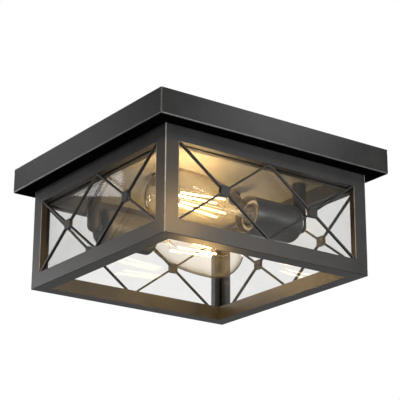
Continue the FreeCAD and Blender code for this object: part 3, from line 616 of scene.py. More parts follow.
def lathe(profile: Points, at: Matrix, steps: int = 64) -> bmesh.types.BMesh:
    """Turn a closed or pole-to-pole profile about an axis.

    Args:
        profile: Radius and height of each point. The last joins the first unless one is a pole.
        at: Where the axis stands: local Z is the axis.
        steps: Steps round the axis.

    Returns:
        The turned bmesh.
    """
    shape = bmesh.new()
    rings = []
    for radius, height in profile:
        angles = round_angles(steps) if radius > SAME_POINT else [0.0]
        spots = [Vector((radius * math.cos(a), radius * math.sin(a), height)) for a in angles]
        rings.append([shape.verts.new(at @ spot) for spot in spots])
    skin(shape, rings, len(rings[0]) > 1 and len(rings[-1]) > 1)
    return shape


def arc(centre: tuple[float, float], radius: float, start: float, end: float, steps: int = 8) -> Points:
    """Points on an arc of a profile, from one angle in degrees to another, 0 outwards and 90 upwards."""
    angles = [math.radians(start + (end - start) * step / steps) for step in range(steps + 1)]
    return [(centre[0] + radius * math.cos(a), centre[1] + radius * math.sin(a)) for a in angles]


def bezier(points: Points, steps: int) -> Points:
    """Points on a cubic curve of a profile.

    Args:
        points: The four control points.
        steps: Number of steps.

    Returns:
        The points.
    """
    result = []
    for step in range(steps + 1):
        t = step / steps
        share = ((1 - t) ** 3, 3 * t * (1 - t) ** 2, 3 * t * t * (1 - t), t ** 3)
        result.append(tuple(sum(w * p[i] for w, p in zip(share, points)) for i in (0, 1)))
    return result


def tube(shape: bmesh.types.BMesh, path: Sequence[Vector], radius: float, steps: int) -> None:
    """Add a round wire along a path, with closed ends.

    Args:
        shape: The bmesh to add to.
        path: Points of the path.
        radius: The wire's radius.
        steps: Steps round the wire.
    """
    rings = []
    side = Vector((0, 0, 1))
    for index, point in enumerate(path):
        ahead = path[min(index + 1, len(path) - 1)] - path[max(index - 1, 0)]
        ahead.normalize()
        if abs(ahead.dot(side)) > 0.95:
            side = Vector((1, 0, 0))
        first = ahead.cross(side).normalized()
        second = ahead.cross(first)
        side = second.cross(ahead) if index else side
        spots = [point + radius * (math.cos(a) * first + math.sin(a) * second) for a in round_angles(steps)]
        rings.append([shape.verts.new(spot) for spot in spots])
    skin(shape, rings, False)
    shape.faces.new(rings[0][::-1])
    shape.faces.new(rings[-1])


def hexagon(shape: bmesh.types.BMesh, across: float, height: float, bore: float, at: Matrix) -> None:
    """Add a hexagonal nut with chamfered corners.

    Args:
        shape: The bmesh to add to.
        across: Width across the flats.
        height: The nut's height.
        bore: Radius of its bore.
        at: Where its lower face's centre stands.
    """
    flat, corner = across / 2, across / math.sqrt(3)
    chamfer = min(0.96 * (corner - flat), 0.2 * height)
    levels = [(bore, 0.0), (flat, 0.0), (corner, chamfer)]
    levels += [(limit, height - level) for limit, level in levels[::-1]]
    rings = []
    for limit, level in levels:
        ring = []
        for turn in round_angles(48):
            radius = min(flat / math.cos(turn % (math.pi / 3) - math.pi / 6), limit)
            spot = Vector((radius * math.cos(turn), radius * math.sin(turn), level))
            ring.append(shape.verts.new(at @ spot))
        rings.append(ring)
    skin(shape, rings, True)


def light_only(lamp: bpy.types.Object, things: Iterable[bpy.types.Object], rule: str) -> None:
    """Link a lamp's light to some pieces, or keep it off them.

    Args:
        lamp: The lamp.
        things: The pieces.
        rule: "INCLUDE" lights only the pieces, and "EXCLUDE" all others.
    """
    group = bpy.data.collections.new(f"{lamp.name}_{rule.lower()}")
    for thing in things:
        group.objects.link(thing)
    for entry in group.collection_objects:
        entry.light_linking.link_state = rule
    lamp.light_linking.receiver_collection = group


@dataclass(frozen=True)
class WarmLight:
    """A small point light that shows nowhere itself."""

    name: str
    power: float
    colour: tuple
    radius: float

    def make(self, spot: Sequence[float], things: Iterable[bpy.types.Object], rule: str) -> bpy.types.Object:
        """Place the light.

        Args:
            spot: Where it stands.
            things: The pieces that its light is linked to.
            rule: "INCLUDE" or "EXCLUDE".

        Returns:
            The light.
        """
        data = bpy.data.lights.new(self.name, "POINT")
        data.color, data.energy, data.shadow_soft_size = self.colour, self.power, self.radius
        thing = linked(self.name, data)
        thing.location = spot
        thing.visible_camera = thing.visible_transmission = False
        light_only(thing, things, rule)
        return thing


def along(end: LampEnd, distance: float) -> Matrix:
    """A place on a lamp's axis, with local Z pointing the way the bulb does.

    Args:
        end: The lamp.
        distance: Distance from the lamp's post.

    Returns:
        The place.
    """
    low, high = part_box(f"lamp_post_{end.word}")
    post = (low + high) / 2
    spot = Vector((post.x + end.value * distance, post.y, low.z + POST_RADIUS))
    return Matrix.Translation(spot) @ Matrix.Rotation(math.radians(90 * end.value), 4, "Y")


def footing(node: str) -> tuple[Matrix, float]:
    """Where a node stands.

    Args:
        node: The node's name.

    Returns:
        The middle of its lowest level, and its height.
    """
    low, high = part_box(node)
    return Matrix.Translation(((low.x + high.x) / 2, (low.y + high.y) / 2, low.z)), high.z - low.z


# ------------------------------------------------------------------ geometry node trees


class Tree(Nodes):
    """A Geometry Nodes tree with named inputs, and the mesh it makes."""

    def __init__(self, name: str, sizes: dict[str, float]) -> None:
        """Start a tree.

        Args:
            name: The tree's name.
            sizes: Its named inputs and their values.
        """
        super().__init__(bpy.data.node_groups.new(name, "GeometryNodeTree"))
        self.sizes = sizes
        new = self.tree.interface.new_socket
        new("Geometry", in_out="INPUT", socket_type="NodeSocketGeometry")
        self.keys = {key: new(key, in_out="INPUT", socket_type="NodeSocketFloat").identifier for key in sizes}
        new("Geometry", in_out="OUTPUT", socket_type="NodeSocketGeometry")
        self.entry = self.add("NodeGroupInput")

    def size(self, key: str) -> Wire:
        """A named input's value."""
        return Wire(self, self.entry.outputs[key])

    def point(self, x: Term = 0.0, y: Term = 0.0, z: Term = 0.0) -> bpy.types.NodeSocket:
        """Join three values into a vector."""
        return self.add("ShaderNodeCombineXYZ", {}, {0: x, 1: y, 2: z}).outputs[0]

    def sweep(self, path: Node, section: bpy.types.NodeSocket) -> Node:
        """Solid with closed ends that a section draws along a path."""
        return self.add("GeometryNodeCurveToMesh", {}, {0: path.outputs[0], 1: section, "Fill Caps": True})

    def close(self, geometry: Node, finish: Finish) -> None:
        """End the tree in Realize Instances and Set Material.

        Args:
            geometry: The node that has made the geometry.
            finish: Its finish.
        """
        real = self.add("GeometryNodeRealizeInstances", {}, {0: geometry.outputs[0]})
        dressed = self.add("GeometryNodeSetMaterial", {}, {0: real.outputs[0], "Material": finish.material})
        self.add("NodeGroupOutput", {}, {0: dressed.outputs[0]})

    def mesh(self, name: str, base: Optional[bpy.types.Mesh] = None) -> bpy.types.Mesh:
        """Run the tree once.

        Args:
            name: The new mesh's name.
            base: The mesh that goes into the tree.

        Returns:
            The plain mesh that comes out.
        """
        host = linked(f"{name}_host", base or bpy.data.meshes.new(f"{name}_base"))
        modifier = host.modifiers.new("tree", "NODES")
        modifier.node_group = self.tree
        for key, value in self.sizes.items():
            modifier[self.keys[key]] = value
        made = evaluated(host)
        made.name = name
        bpy.data.objects.remove(host)
        return made


def evaluated(host: bpy.types.Object) -> bpy.types.Mesh:
    """Take the mesh that an object's modifiers make, and clear the modifiers.

    Args:
        host: The object.

    Returns:
        The mesh.
    """
    bpy.context.view_layer.update()
    graph = bpy.context.evaluated_depsgraph_get()
    made = bpy.data.meshes.new_from_object(host.evaluated_get(graph), depsgraph=graph)
    host.modifiers.clear()
    return made


def joined(name: str, meshes: Iterable[tuple[bpy.types.Mesh, Matrix]], weld: float = 0.0) -> bpy.types.Mesh:
    """Join placed meshes into one.

    Args:
        name: The new mesh's name.
        meshes: Each mesh and its place.
        weld: Points nearer than this are merged.

    Returns:
        The mesh.
    """
    shape = bmesh.new()
    for mesh, at in meshes:
        copy = mesh.copy()
        copy.transform(at)
        shape.from_mesh(copy)
        bpy.data.meshes.remove(copy)
    if weld:
        bmesh.ops.remove_doubles(shape, verts=shape.verts, dist=weld)
    return as_mesh(name, shape)


def merge(
    meshes: Iterable[tuple[bpy.types.Mesh, Matrix]], name: str, finish: Finish, weld: float = 1e-6,
) -> bpy.types.Object:
    """Join placed meshes into one piece.

    Args:
        meshes: Each mesh and its place.
        name: The piece's name.
        finish: The piece's finish.
        weld: Points nearer than this are merged.

    Returns:
        The piece.
    """
    return place_mesh(name, joined(name, meshes, weld), finish)


def helix_mesh(
    name: str, radius: float, length: float, pitch: float, ridge: float, finish: Finish,
) -> bpy.types.Mesh:
    """A thread's ridge wound round local Z, made by a node tree.

    Args:
        name: The mesh's name.
        radius: Radius of the ridge's centre line.
        length: The wound length.
        pitch: Height of one turn.
        ridge: Radius of the ridge's section.
        finish: Its finish.

    Returns:
        The mesh.
    """
    tree = Tree(f"{name}_tree", {"radius": radius, "length": length, "pitch": pitch, "ridge": ridge})
    length, radius = tree.size("length"), tree.size("radius")
    spiral = tree.add("GeometryNodeCurveSpiral", {}, {
        "Resolution": 40, "Rotations": length / tree.size("pitch"), "Start Radius": radius,
        "End Radius": radius, "Height": length,
    })
    circle = {"Resolution": 8, "Radius": tree.size("ridge")}
    section = tree.add("GeometryNodeCurvePrimitiveCircle", {}, circle)
    tree.close(tree.sweep(spiral, section.outputs[0]), finish)
    return tree.mesh(name)


def copies_mesh(name: str, base: bpy.types.Mesh, count: int, finish: Finish) -> bpy.types.Mesh:
    """Copies of a mesh turned evenly about local Z, made by a node tree.

    Args:
        name: The mesh's name.
        base: The mesh to copy.
        count: Number of copies.
        finish: Their finish.

    Returns:
        The mesh of all copies.
    """
    tree = Tree(f"{name}_tree", {"count": float(count)})
    spots = tree.add("GeometryNodeMeshLine", {}, {"Count": count, "Offset": (0, 0, 0)})
    index = Wire(tree, tree.add("GeometryNodeInputIndex").outputs[0])
    turn = tree.point(z=index * (2 * math.pi / tree.size("count")))
    tree.close(tree.add("GeometryNodeInstanceOnPoints", {}, {
        "Points": spots.outputs[0], "Instance": tree.entry.outputs["Geometry"], "Rotation": turn,
    }), finish)
    return tree.mesh(name, base)


# ------------------------------------------------------------------ sub-assemblies


def dress(nodes: Iterable[str], finish: Finish) -> None:
    """Give carried-over nodes a finish.

    Args:
        nodes: The nodes' names.
        finish: The finish.
    """
    for name in nodes:
        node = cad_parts[name]
        node.data.materials.clear()
        node.data.materials.append(finish.material)
        log.info("dressed %s in %s", name, finish.value.name)


def hand_in(piece: bpy.types.Object, body: str, slot: str, *nodes: str) -> None:
    """Attach a finished piece to its body and hide the nodes that it stands for.

    Args:
        piece: The piece.
        body: The body that it rides on.
        slot: Not used.
        nodes: The nodes that it stands for.
    """
    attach(piece, body)
    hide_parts(*nodes)
    log.info("%s: %d faces on %s", piece.name, len(piece.data.polygons), body)


@dataclass
class Housing:
    """The ceiling pan, the frame's rails and posts, and the window panes."""

    corners: tuple = ("front_left", "front_right", "back_right", "back_left")

    def build(self) -> None:
        """Dress the sheet metal and the glass."""
        metal = [f"{row}_rail_{side.word}" for row in ("top", "bottom") for side in Side]
        metal += [f"corner_post_{corner}" for corner in self.corners]
        dress(["canopy_pan"], Finish.PAN)
        dress(metal, Finish.FRAME)
        dress([f"glass_pane_{side.word}" for side in Side], Finish.PANE)


@dataclass
class Lattice:
    """The bent bars and the blocks on their crossings, in every window."""

    bar: float = 2.2 * MM
    bar_depth: float = 3.2 * MM
    bend: float = 8.0 * MM
    edge: float = 0.4 * MM
    block: float = 10.8 * MM
    block_depth: float = 4.4 * MM
    block_edge: float = 0.6 * MM
    bend_steps: int = 10
    edge_steps: int = 3

    def window(self) -> tuple[float, float, Vector]:
        """The front window's bars: half their width, half their height and their middle."""
        low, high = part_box("lattice_bars_front")
        return (high.x - low.x) / 2, (high.z - low.z) / 2, (low + high) / 2

    def section(self, tree: Tree, width: str, height: str) -> bpy.types.NodeSocket:
        """Rectangle with rounded corners.

        Args:
            tree: The tree to add to.
            width: The tree's input that is its width.
            height: The tree's input that is its height.

        Returns:
            The curve.
        """
        sizes = {"Width": tree.size(width), "Height": tree.size(height)}
        plain = tree.add("GeometryNodeCurvePrimitiveQuadrilateral", {}, sizes)
        return tree.add("GeometryNodeFilletCurve", {"mode": "POLY"}, {
            "Curve": plain.outputs[0], "Radius": tree.size("edge"), "Count": self.edge_steps,
            "Limit Radius": True,
        }).outputs[0]

    def slope(self, reach: float, rise: float) -> float:
        """Slope of a bar that leaves a crossing and touches its bend's circle.

        Args:
            reach: Half the window's width.
            rise: Half the window's height.

        Returns:
            The tangent of the slope's angle.
        """
        centre_rise, run = rise - self.bend, reach / 2
        inner = (self.bend - self.bar / 2) / math.hypot(centre_rise, run)
        return math.tan(math.atan(centre_rise / run) + math.asin(inner))

    def bars(self, name: str) -> bpy.types.Mesh:
        """Both bent bars of the front window.

        Args:
            name: The mesh's name.

        Returns:
            The mesh.
        """
        reach, rise, _ = self.window()
        tree = Tree(f"{name}_tree", {
            "reach": reach, "bar": self.bar, "depth": self.bar_depth,
            "bend": self.bend - self.bar / 2, "edge": self.edge,
        })
        slope = self.slope(reach, rise)
        span = tree.size("reach")
        line = tree.add("GeometryNodeMeshLine", {}, {
            "Count": 3, "Start Location": tree.point(span * -1.0), "Offset": tree.point(span),
        })
        spot = tree.add("GeometryNodeInputPosition").outputs[0]
        away = abs(Wire(tree, tree.add("ShaderNodeSeparateXYZ", {}, {0: spot}).outputs[0]))
        offset = tree.point(z=away * slope - reach / 2 * slope)
        moved = tree.add("GeometryNodeSetPosition", {}, {"Geometry": line.outputs[0], "Offset": offset})
        path = tree.add("GeometryNodeMeshToCurve", {}, {0: moved.outputs[0]})
        bent = tree.add("GeometryNodeFilletCurve", {"mode": "POLY"}, {
            "Curve": path.outputs[0], "Radius": tree.size("bend"), "Count": self.bend_steps,
        })
        upright = tree.add("GeometryNodeSetCurveNormal", {"mode": "Z_UP"}, {0: bent.outputs[0]})
        swept = tree.sweep(upright, self.section(tree, "depth", "bar"))
        half_turn = {"Geometry": swept.outputs[0], "Rotation": (0, math.pi, 0)}
        over = tree.add("GeometryNodeTransform", {}, half_turn)
        both = tree.add("GeometryNodeJoinGeometry")
        for half in (swept, over):
            tree.tree.links.new(half.outputs[0], both.inputs[0])
        tree.close(both, Finish.LATTICE)
        return self.trimmed(tree.mesh(name), reach, rise + 0.01 * MM)

    @staticmethod
    def trimmed(mesh: bpy.types.Mesh, reach: float, rise: float) -> bpy.types.Mesh:
        """Cut the bars' ends off flush with the window.

        Args:
            mesh: The bars, in the window's own frame.
            reach: How far they may reach sideways.
            rise: How far they may reach up and down.

        Returns:
            The same mesh, cut.
        """
        shape = bmesh.new()
        shape.from_mesh(mesh)
        for way in (Vector((1, 0, 0)), Vector((-1, 0, 0)), Vector((0, 0, 1)), Vector((0, 0, -1))):
            everything = shape.verts[:] + shape.edges[:] + shape.faces[:]
            bmesh.ops.bisect_plane(
                shape, geom=everything, plane_co=way * (reach if way.x else rise), plane_no=way,
                clear_outer=True, dist=SAME_POINT,
            )
            rims = [edge for edge in shape.edges if len(edge.link_faces) == 1]
            bmesh.ops.holes_fill(shape, edges=rims)
        shape.to_mesh(mesh)
        shape.free()
        return mesh

    def blocks(self, name: str) -> bpy.types.Mesh:
        """Both blocks of the front window.

        Args:
            name: The mesh's name.

        Returns:
            The mesh.
        """
        tree = Tree(f"{name}_tree", {
            "reach": self.window()[0], "block": self.block, "depth": self.block_depth,
            "edge": self.block_edge,
        })
        half, span = tree.size("depth") * 0.5, tree.size("reach")
        section = self.section(tree, "block", "block")
        ends = {"Start": tree.point(y=half * -1.0), "End": tree.point(y=half)}
        line = tree.add("GeometryNodeCurvePrimitiveLine", {}, ends)
        square = tree.add("GeometryNodeSetCurveNormal", {"mode": "Z_UP"}, {0: line.outputs[0]})
        solid = tree.sweep(square, section)
        spots = tree.add("GeometryNodeMeshLine", {}, {
            "Count": 2, "Start Location": tree.point(span * -0.5), "Offset": tree.point(span),
        })
        placed = {"Points": spots.outputs[0], "Instance": solid.outputs[0]}
        tree.close(tree.add("GeometryNodeInstanceOnPoints", {}, placed), Finish.LATTICE)
        return tree.mesh(name)

    def build(self) -> None:
        """Make the bars and blocks of each side."""
        middle = Matrix.Translation(self.window()[2])
        bars, blocks = self.bars("lattice_bars"), self.blocks("lattice_blocks")
        for side in Side:
            at = Matrix.Rotation(math.radians(side.value), 4, "Z") @ middle
            made = merge([(bars, at)], f"bent_bars_{side.word}", Finish.LATTICE)
            hand_in(made, "lantern", "black_metal", f"lattice_bars_{side.word}")
            made = merge([(blocks, at)], f"crossing_blocks_{side.word}", Finish.LATTICE)
            hand_in(made, "lantern", "black_metal", f"lattice_blocks_{side.word}")


@dataclass
class Lamp:
    """One lamp: its post, cup, holder, contacts and lit bulb. Distances run from the post's axis."""

    end: LampEnd
    post_bore: float = 5.1 * MM
    cup_back: float = 8.3 * MM
    cup_mouth: float = 74.5 * MM
    cup_radius: float = 21.0 * MM
    cup_wall: float = 1.0 * MM
    cup_corner: float = 6.0 * MM
    cup_hole: float = 5.4 * MM
    holder_back: float = 12.8 * MM
    holder_face: float = 69.0 * MM
    holder_radius: float = 17.2 * MM
    holder_edge: float = 1.2 * MM
    well: float = 13.85 * MM
    well_edge: float = 0.8 * MM
    well_floor: float = 50.0 * MM
    pocket: float = 8.8 * MM
    pocket_depth: float = 8.0 * MM
    wire_way: float = 3.5 * MM
    seat: float = 5.05 * MM
    seat_depth: float = 9.3 * MM
    base_back: float = 52.5 * MM
    base_rim: float = 70.5 * MM
    base_wall: float = 0.5 * MM
    base_bevel: float = 1.2 * MM
    base_rise: float = 0.9 * MM
    core: float = 12.2 * MM
    neck: float = 11.4 * MM
    neck_depth: float = 3.0 * MM
    pitch: float = 3.63 * MM
    thread_start: float = 1.2 * MM
    thread_turns: float = 3.3
    thread_ridge: float = 0.78 * MM
    insulator_depth: float = 4.8 * MM
    insulator_end: float = 4.7 * MM
    bulb_radius: float = 32.0 * MM
    bulb_length: float = 131.8 * MM
    bulb_wall: float = 0.55 * MM
    bulb_swell: float = 5.5 * MM
    stick_start: float = 39.0 * MM
    stick_length: float = 56.0 * MM
    stick_radius: float = 1.1 * MM
    stick_wide: float = 8.0 * MM
    stick_narrow: float = 5.2 * MM
    stick_count: int = 4
    stick_tip: float = 0.4 * MM
    wire: float = 0.35 * MM
    wire_reach: float = 1.6 * MM
    wire_bite: float = 0.2 * MM
    hub_drop: float = 7.4 * MM
    mast_drop: float = 12.0 * MM
    mast_tip: float = 0.8 * MM
    glow_from: float = 82.0 * MM
    glow_radius: float = 12.0 * MM
    power: float = 3.6
    glint: float = 1.1
    ember: float = 0.13
    warm: tuple = (1.0, 0.66, 0.27)
    mild: tuple = (1.0, 0.88, 0.68)

    @property
    def word(self) -> str:
        """The lamp's name as the nodes spell it."""
        return self.end.word

    @property
    def body(self) -> str:
        """The body that the bulb rides on."""
        return f"bulb_{self.word}"

    @property
    def bulb_foot(self) -> Matrix:
        """The bulb's place: the middle of its base's rim."""
        return along(self.end, self.base_rim)

    def turned(self, name: str, profile: Points, finish: Finish, steps: int = 64) -> bpy.types.Object:
        """Turned piece on the lamp's axis, with heights counted from the post."""
        return mesh_piece(f"{name}_{self.word}", lathe(profile, along(self.end, 0.0), steps), finish)

    def hand_in(self, piece: bpy.types.Object, slot: str, part: str) -> None:
        """Attach a piece for one of the lamp's nodes and hide that node. What is the bulb's rides on the
        bulb.
        """
        hand_in(piece, self.body if part.startswith("bulb") else "lantern", slot, f"{part}_{self.word}")

    def make_post(self) -> None:
        """Post with a rounded lower end and a collar under the pan."""
        at, top = footing(f"lamp_post_{self.word}")
        r, bore = POST_RADIUS, self.post_bore
        bore_end = r + 2 * MM
        profile = [(0, 0)] + arc((0, r), r, -84, 0, 14)
        profile += [(r, top - 0.6 * MM), (r - 0.3 * MM, top), (bore, top), (bore, bore_end), (0, bore_end)]
        post = mesh_piece(f"post_tube_{self.word}", lathe(profile, at), Finish.BLACK)
        self.hand_in(post, "black_metal", "lamp_post")

    def make_cup(self) -> None:
        """Drawn cup with a rounded shoulder and a rolled lip."""
        wall, corner, back = self.cup_wall, self.cup_corner, self.cup_back
        lip = wall / 2
        shoulder = (self.cup_radius - corner, back + corner)
        outer = [(self.cup_hole, back)] + arc(shoulder, corner, -90, 0, 12)
        rim = arc((self.cup_radius - lip, self.cup_mouth - lip), lip, 0, 180, 8)
        inner = arc(shoulder, corner - wall, 0, -90, 12) + [(self.cup_hole, back + wall)]
        cup = self.turned("drawn_cup", outer + rim + inner, Finish.CUP, 80)
        self.hand_in(cup, "black_metal", "socket_cup")

    def make_holder(self) -> None:
        """Glazed holder with rounded edges, its screw shell and its contact spring."""
        r, face, back, edge = self.holder_radius, self.holder_face, self.holder_back, self.holder_edge
        pocket_end, seat_end = self.well_floor - self.pocket_depth, back + self.seat_depth
        profile = [(self.seat, back)] + arc((r - edge, back + edge), edge, -90, 0, 6)
        profile += arc((r - edge, face - edge), edge, 0, 90, 6)
        profile += arc((self.well + self.well_edge, face - self.well_edge), self.well_edge, 90, 180, 5)
        profile += [(self.well, self.well_floor), (self.pocket, self.well_floor), (self.pocket, pocket_end)]
        profile += [(self.wire_way, pocket_end), (self.wire_way, seat_end), (self.seat, seat_end)]
        holder = self.turned("glazed_holder", profile, Finish.CERAMIC)
        self.hand_in(holder, "ceramic", "lamp_holder")
        dress([f"contact_spring_{self.word}", f"screw_shell_{self.word}"], Finish.BRASS)

    def bulb_profile(self, inset: float) -> Points:
        """Half outline of the bulb's glass, from its neck to its end.

        Args:
            inset: Distance inside the outer surface.

        Returns:
            The points, with heights from the bulb's rim.
        """
        neck, wide = self.neck - inset, self.bulb_radius - inset
        centre, swell = self.bulb_length - self.bulb_radius, self.bulb_swell
        run = centre - swell
        bends = (neck, swell + 0.12 * run), (wide, centre - 0.78 * run)
        pear = bezier([(neck, swell), *bends, (wide, centre)], 40)
        dome = arc((0, centre), wide, 0, 90, 24)[1:-1] + [(0, centre + wide)]
        return [(neck, -self.neck_depth), (neck, 0)] + pear + dome

    def make_glass(self) -> None:
        """Clear pear-shaped glass with a thin wall."""
        profile = self.bulb_profile(0.0) + self.bulb_profile(self.bulb_wall)[::-1]
        glass = mesh_piece(f"clear_glass_{self.word}", lathe(profile, self.bulb_foot, 96), Finish.BULB, 60)
        self.hand_in(glass, "bulb_glass", "bulb_glass")

    def make_base(self) -> None:
        """Rolled screw base with a wound thread, its insulator and its tip."""
        core, back, rim, wall = self.core, self.base_back, self.base_rim, self.base_wall
        bevel, rise = self.base_bevel, back + self.base_rise
        profile = [(core - wall, rim), (core - 0.1 * MM, rim), (core, rim - 0.4 * MM), (core, rise)]
        profile += [(core - bevel, back), (core - wall - bevel, back), (core - wall, rise + wall)]
        shell = as_mesh("base_shell", lathe(profile, along(self.end, 0.0), 72))
        wound, ridge = self.thread_turns * self.pitch, self.thread_ridge
        thread = helix_mesh(f"base_thread_{self.word}", core, wound, self.pitch, ridge, Finish.NICKEL)
        parts = [(shell, Matrix()), (thread, along(self.end, back + self.thread_start))]
        made = merge(parts, f"screw_base_{self.word}", Finish.NICKEL)
        self.hand_in(made, "bulb_metal", "bulb_base")
        foot = back - self.insulator_depth
        dome = [(0, back), (core - 0.6 * MM, back)]
        dome += arc((core - 1.4 * MM, back - 0.6 * MM), 0.8 * MM, 30, -50, 5)
        made = self.turned("vitreous_end", dome + [(self.insulator_end, foot), (0, foot)], Finish.VITREOUS)
        self.hand_in(made, "insulator", "bulb_insulator")
        tip = [(0, 4.8), (4.5, 5.0), (4.4, 5.8), (3.4, 6.9), (1.6, 7.4), (0, 7.5)]
        made = self.turned("solder_tip", [(r * MM, back - z * MM) for r, z in tip], Finish.BRASS, 40)
        self.hand_in(made, "brass", "bulb_tip")

    def make_stem(self) -> None:
        """Glass flare and rod that carry the wires."""
        neck, top = (self.neck - self.bulb_wall) / MM, self.stick_start / MM - 8
        flare = [(0, -3), (neck - 0.3, -3), (neck - 1.6, 0), (6.2, 5), (4.4, 10), (3.6, 18)]
        rod = [(3.2, top - 6), (2.4, top - 2), (1.2, top - 0.3), (0, top)]
        profile = [(r * MM, self.base_rim + z * MM) for r, z in flare + rod]
        self.hand_in(self.turned("stem", profile, Finish.STEM), "bulb_glass", "bulb_stem")

    def fourfold(self, name: str, shape: bmesh.types.BMesh, finish: Finish) -> tuple[bpy.types.Mesh, Matrix]:
        """Copies of a wire round the bulb's axis, one for each stick, and the bulb's place."""
        one = as_mesh(name, shape)
        return copies_mesh(f"{name}_{self.word}", one, self.stick_count, finish), self.bulb_foot

    def make_filaments(self) -> None:
        """Four lit sticks and the wires that carry them."""
        start, end = self.stick_start, self.stick_start + self.stick_length
        low = Vector((self.stick_wide, self.stick_wide, start))
        high = Vector((self.stick_narrow, self.stick_narrow, end))
        lean = (high - low).normalized()
        tip, bite, reach = lean * self.stick_tip, lean * self.wire_bite, lean * self.wire_reach
        stick = bmesh.new()
        tube(stick, [low, low + tip, high - tip, high], self.stick_radius, 14)
        made = merge([self.fourfold("sticks", stick, Finish.GLOW)], f"lit_filaments_{self.word}", Finish.GLOW)
        self.hand_in(made, "filament", "bulb_filaments")
        hub, top = Vector((0, 0, start - self.hub_drop)), Vector((0, 0, end + self.wire_reach))
        near, far = low - reach, high + reach
        bow = (hub + near) / 2 + Vector((0.6, 0.6, 1.0)) * MM
        strand = bmesh.new()
        tube(strand, [hub, bow, near, low + bite], self.wire, 8)
        arch = (far + top) / 2 + Vector((0, 0, 0.5 * MM))
        tube(strand, [high - bite, far, arch, top], self.wire, 8)
        strands = self.fourfold("strands", strand, Finish.WIRE)
        mast = bmesh.new()
        ends = [Vector((0, 0, start - self.mast_drop)), top + Vector((0, 0, self.mast_tip))]
        tube(mast, ends, self.wire * 1.2, 10)
        bead = Matrix.Translation(hub)
        bmesh.ops.create_uvsphere(mast, u_segments=16, v_segments=10, radius=MM, matrix=bead)
        parts = [strands, (as_mesh("mast", mast), self.bulb_foot)]
        made = merge(parts, f"support_wires_{self.word}", Finish.WIRE)
        self.hand_in(made, "bulb_metal", "bulb_wires")

    def make_light(self) -> None:
        """Warm light of the lit filaments: what it lights, its glints, and the pale holder's own share."""
        middle = along(self.end, self.base_rim + self.glow_from).translation
        pale = [bpy.data.objects[f"{part}_{self.word}"] for part in ("glazed_holder", "stem")]
        dark = pale + [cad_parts[f"glass_pane_{side.word}"] for side in Side]
        dark.append(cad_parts["corner_post_back_right"])
        clear = [bpy.data.objects[f"clear_glass_{self.word}"]]
        glow = WarmLight(f"glow_{self.word}", self.power, self.warm, self.glow_radius)
        glow.make(middle, dark, "EXCLUDE").visible_glossy = False
        glint = WarmLight(f"glint_{self.word}", self.glint, self.warm, self.glow_radius)
        glint.make(middle, dark + clear, "EXCLUDE").visible_diffuse = False
        ember = WarmLight(f"ember_{self.word}", self.ember, self.mild, self.glow_radius)
        ember.make(middle, pale, "INCLUDE")

    def build(self) -> None:
        """Make every piece of the lamp."""
        self.make_post()
        self.make_cup()
        self.make_holder()
        self.make_base()
        self.make_glass()
        self.make_stem()
        self.make_filaments()
        self.make_light()


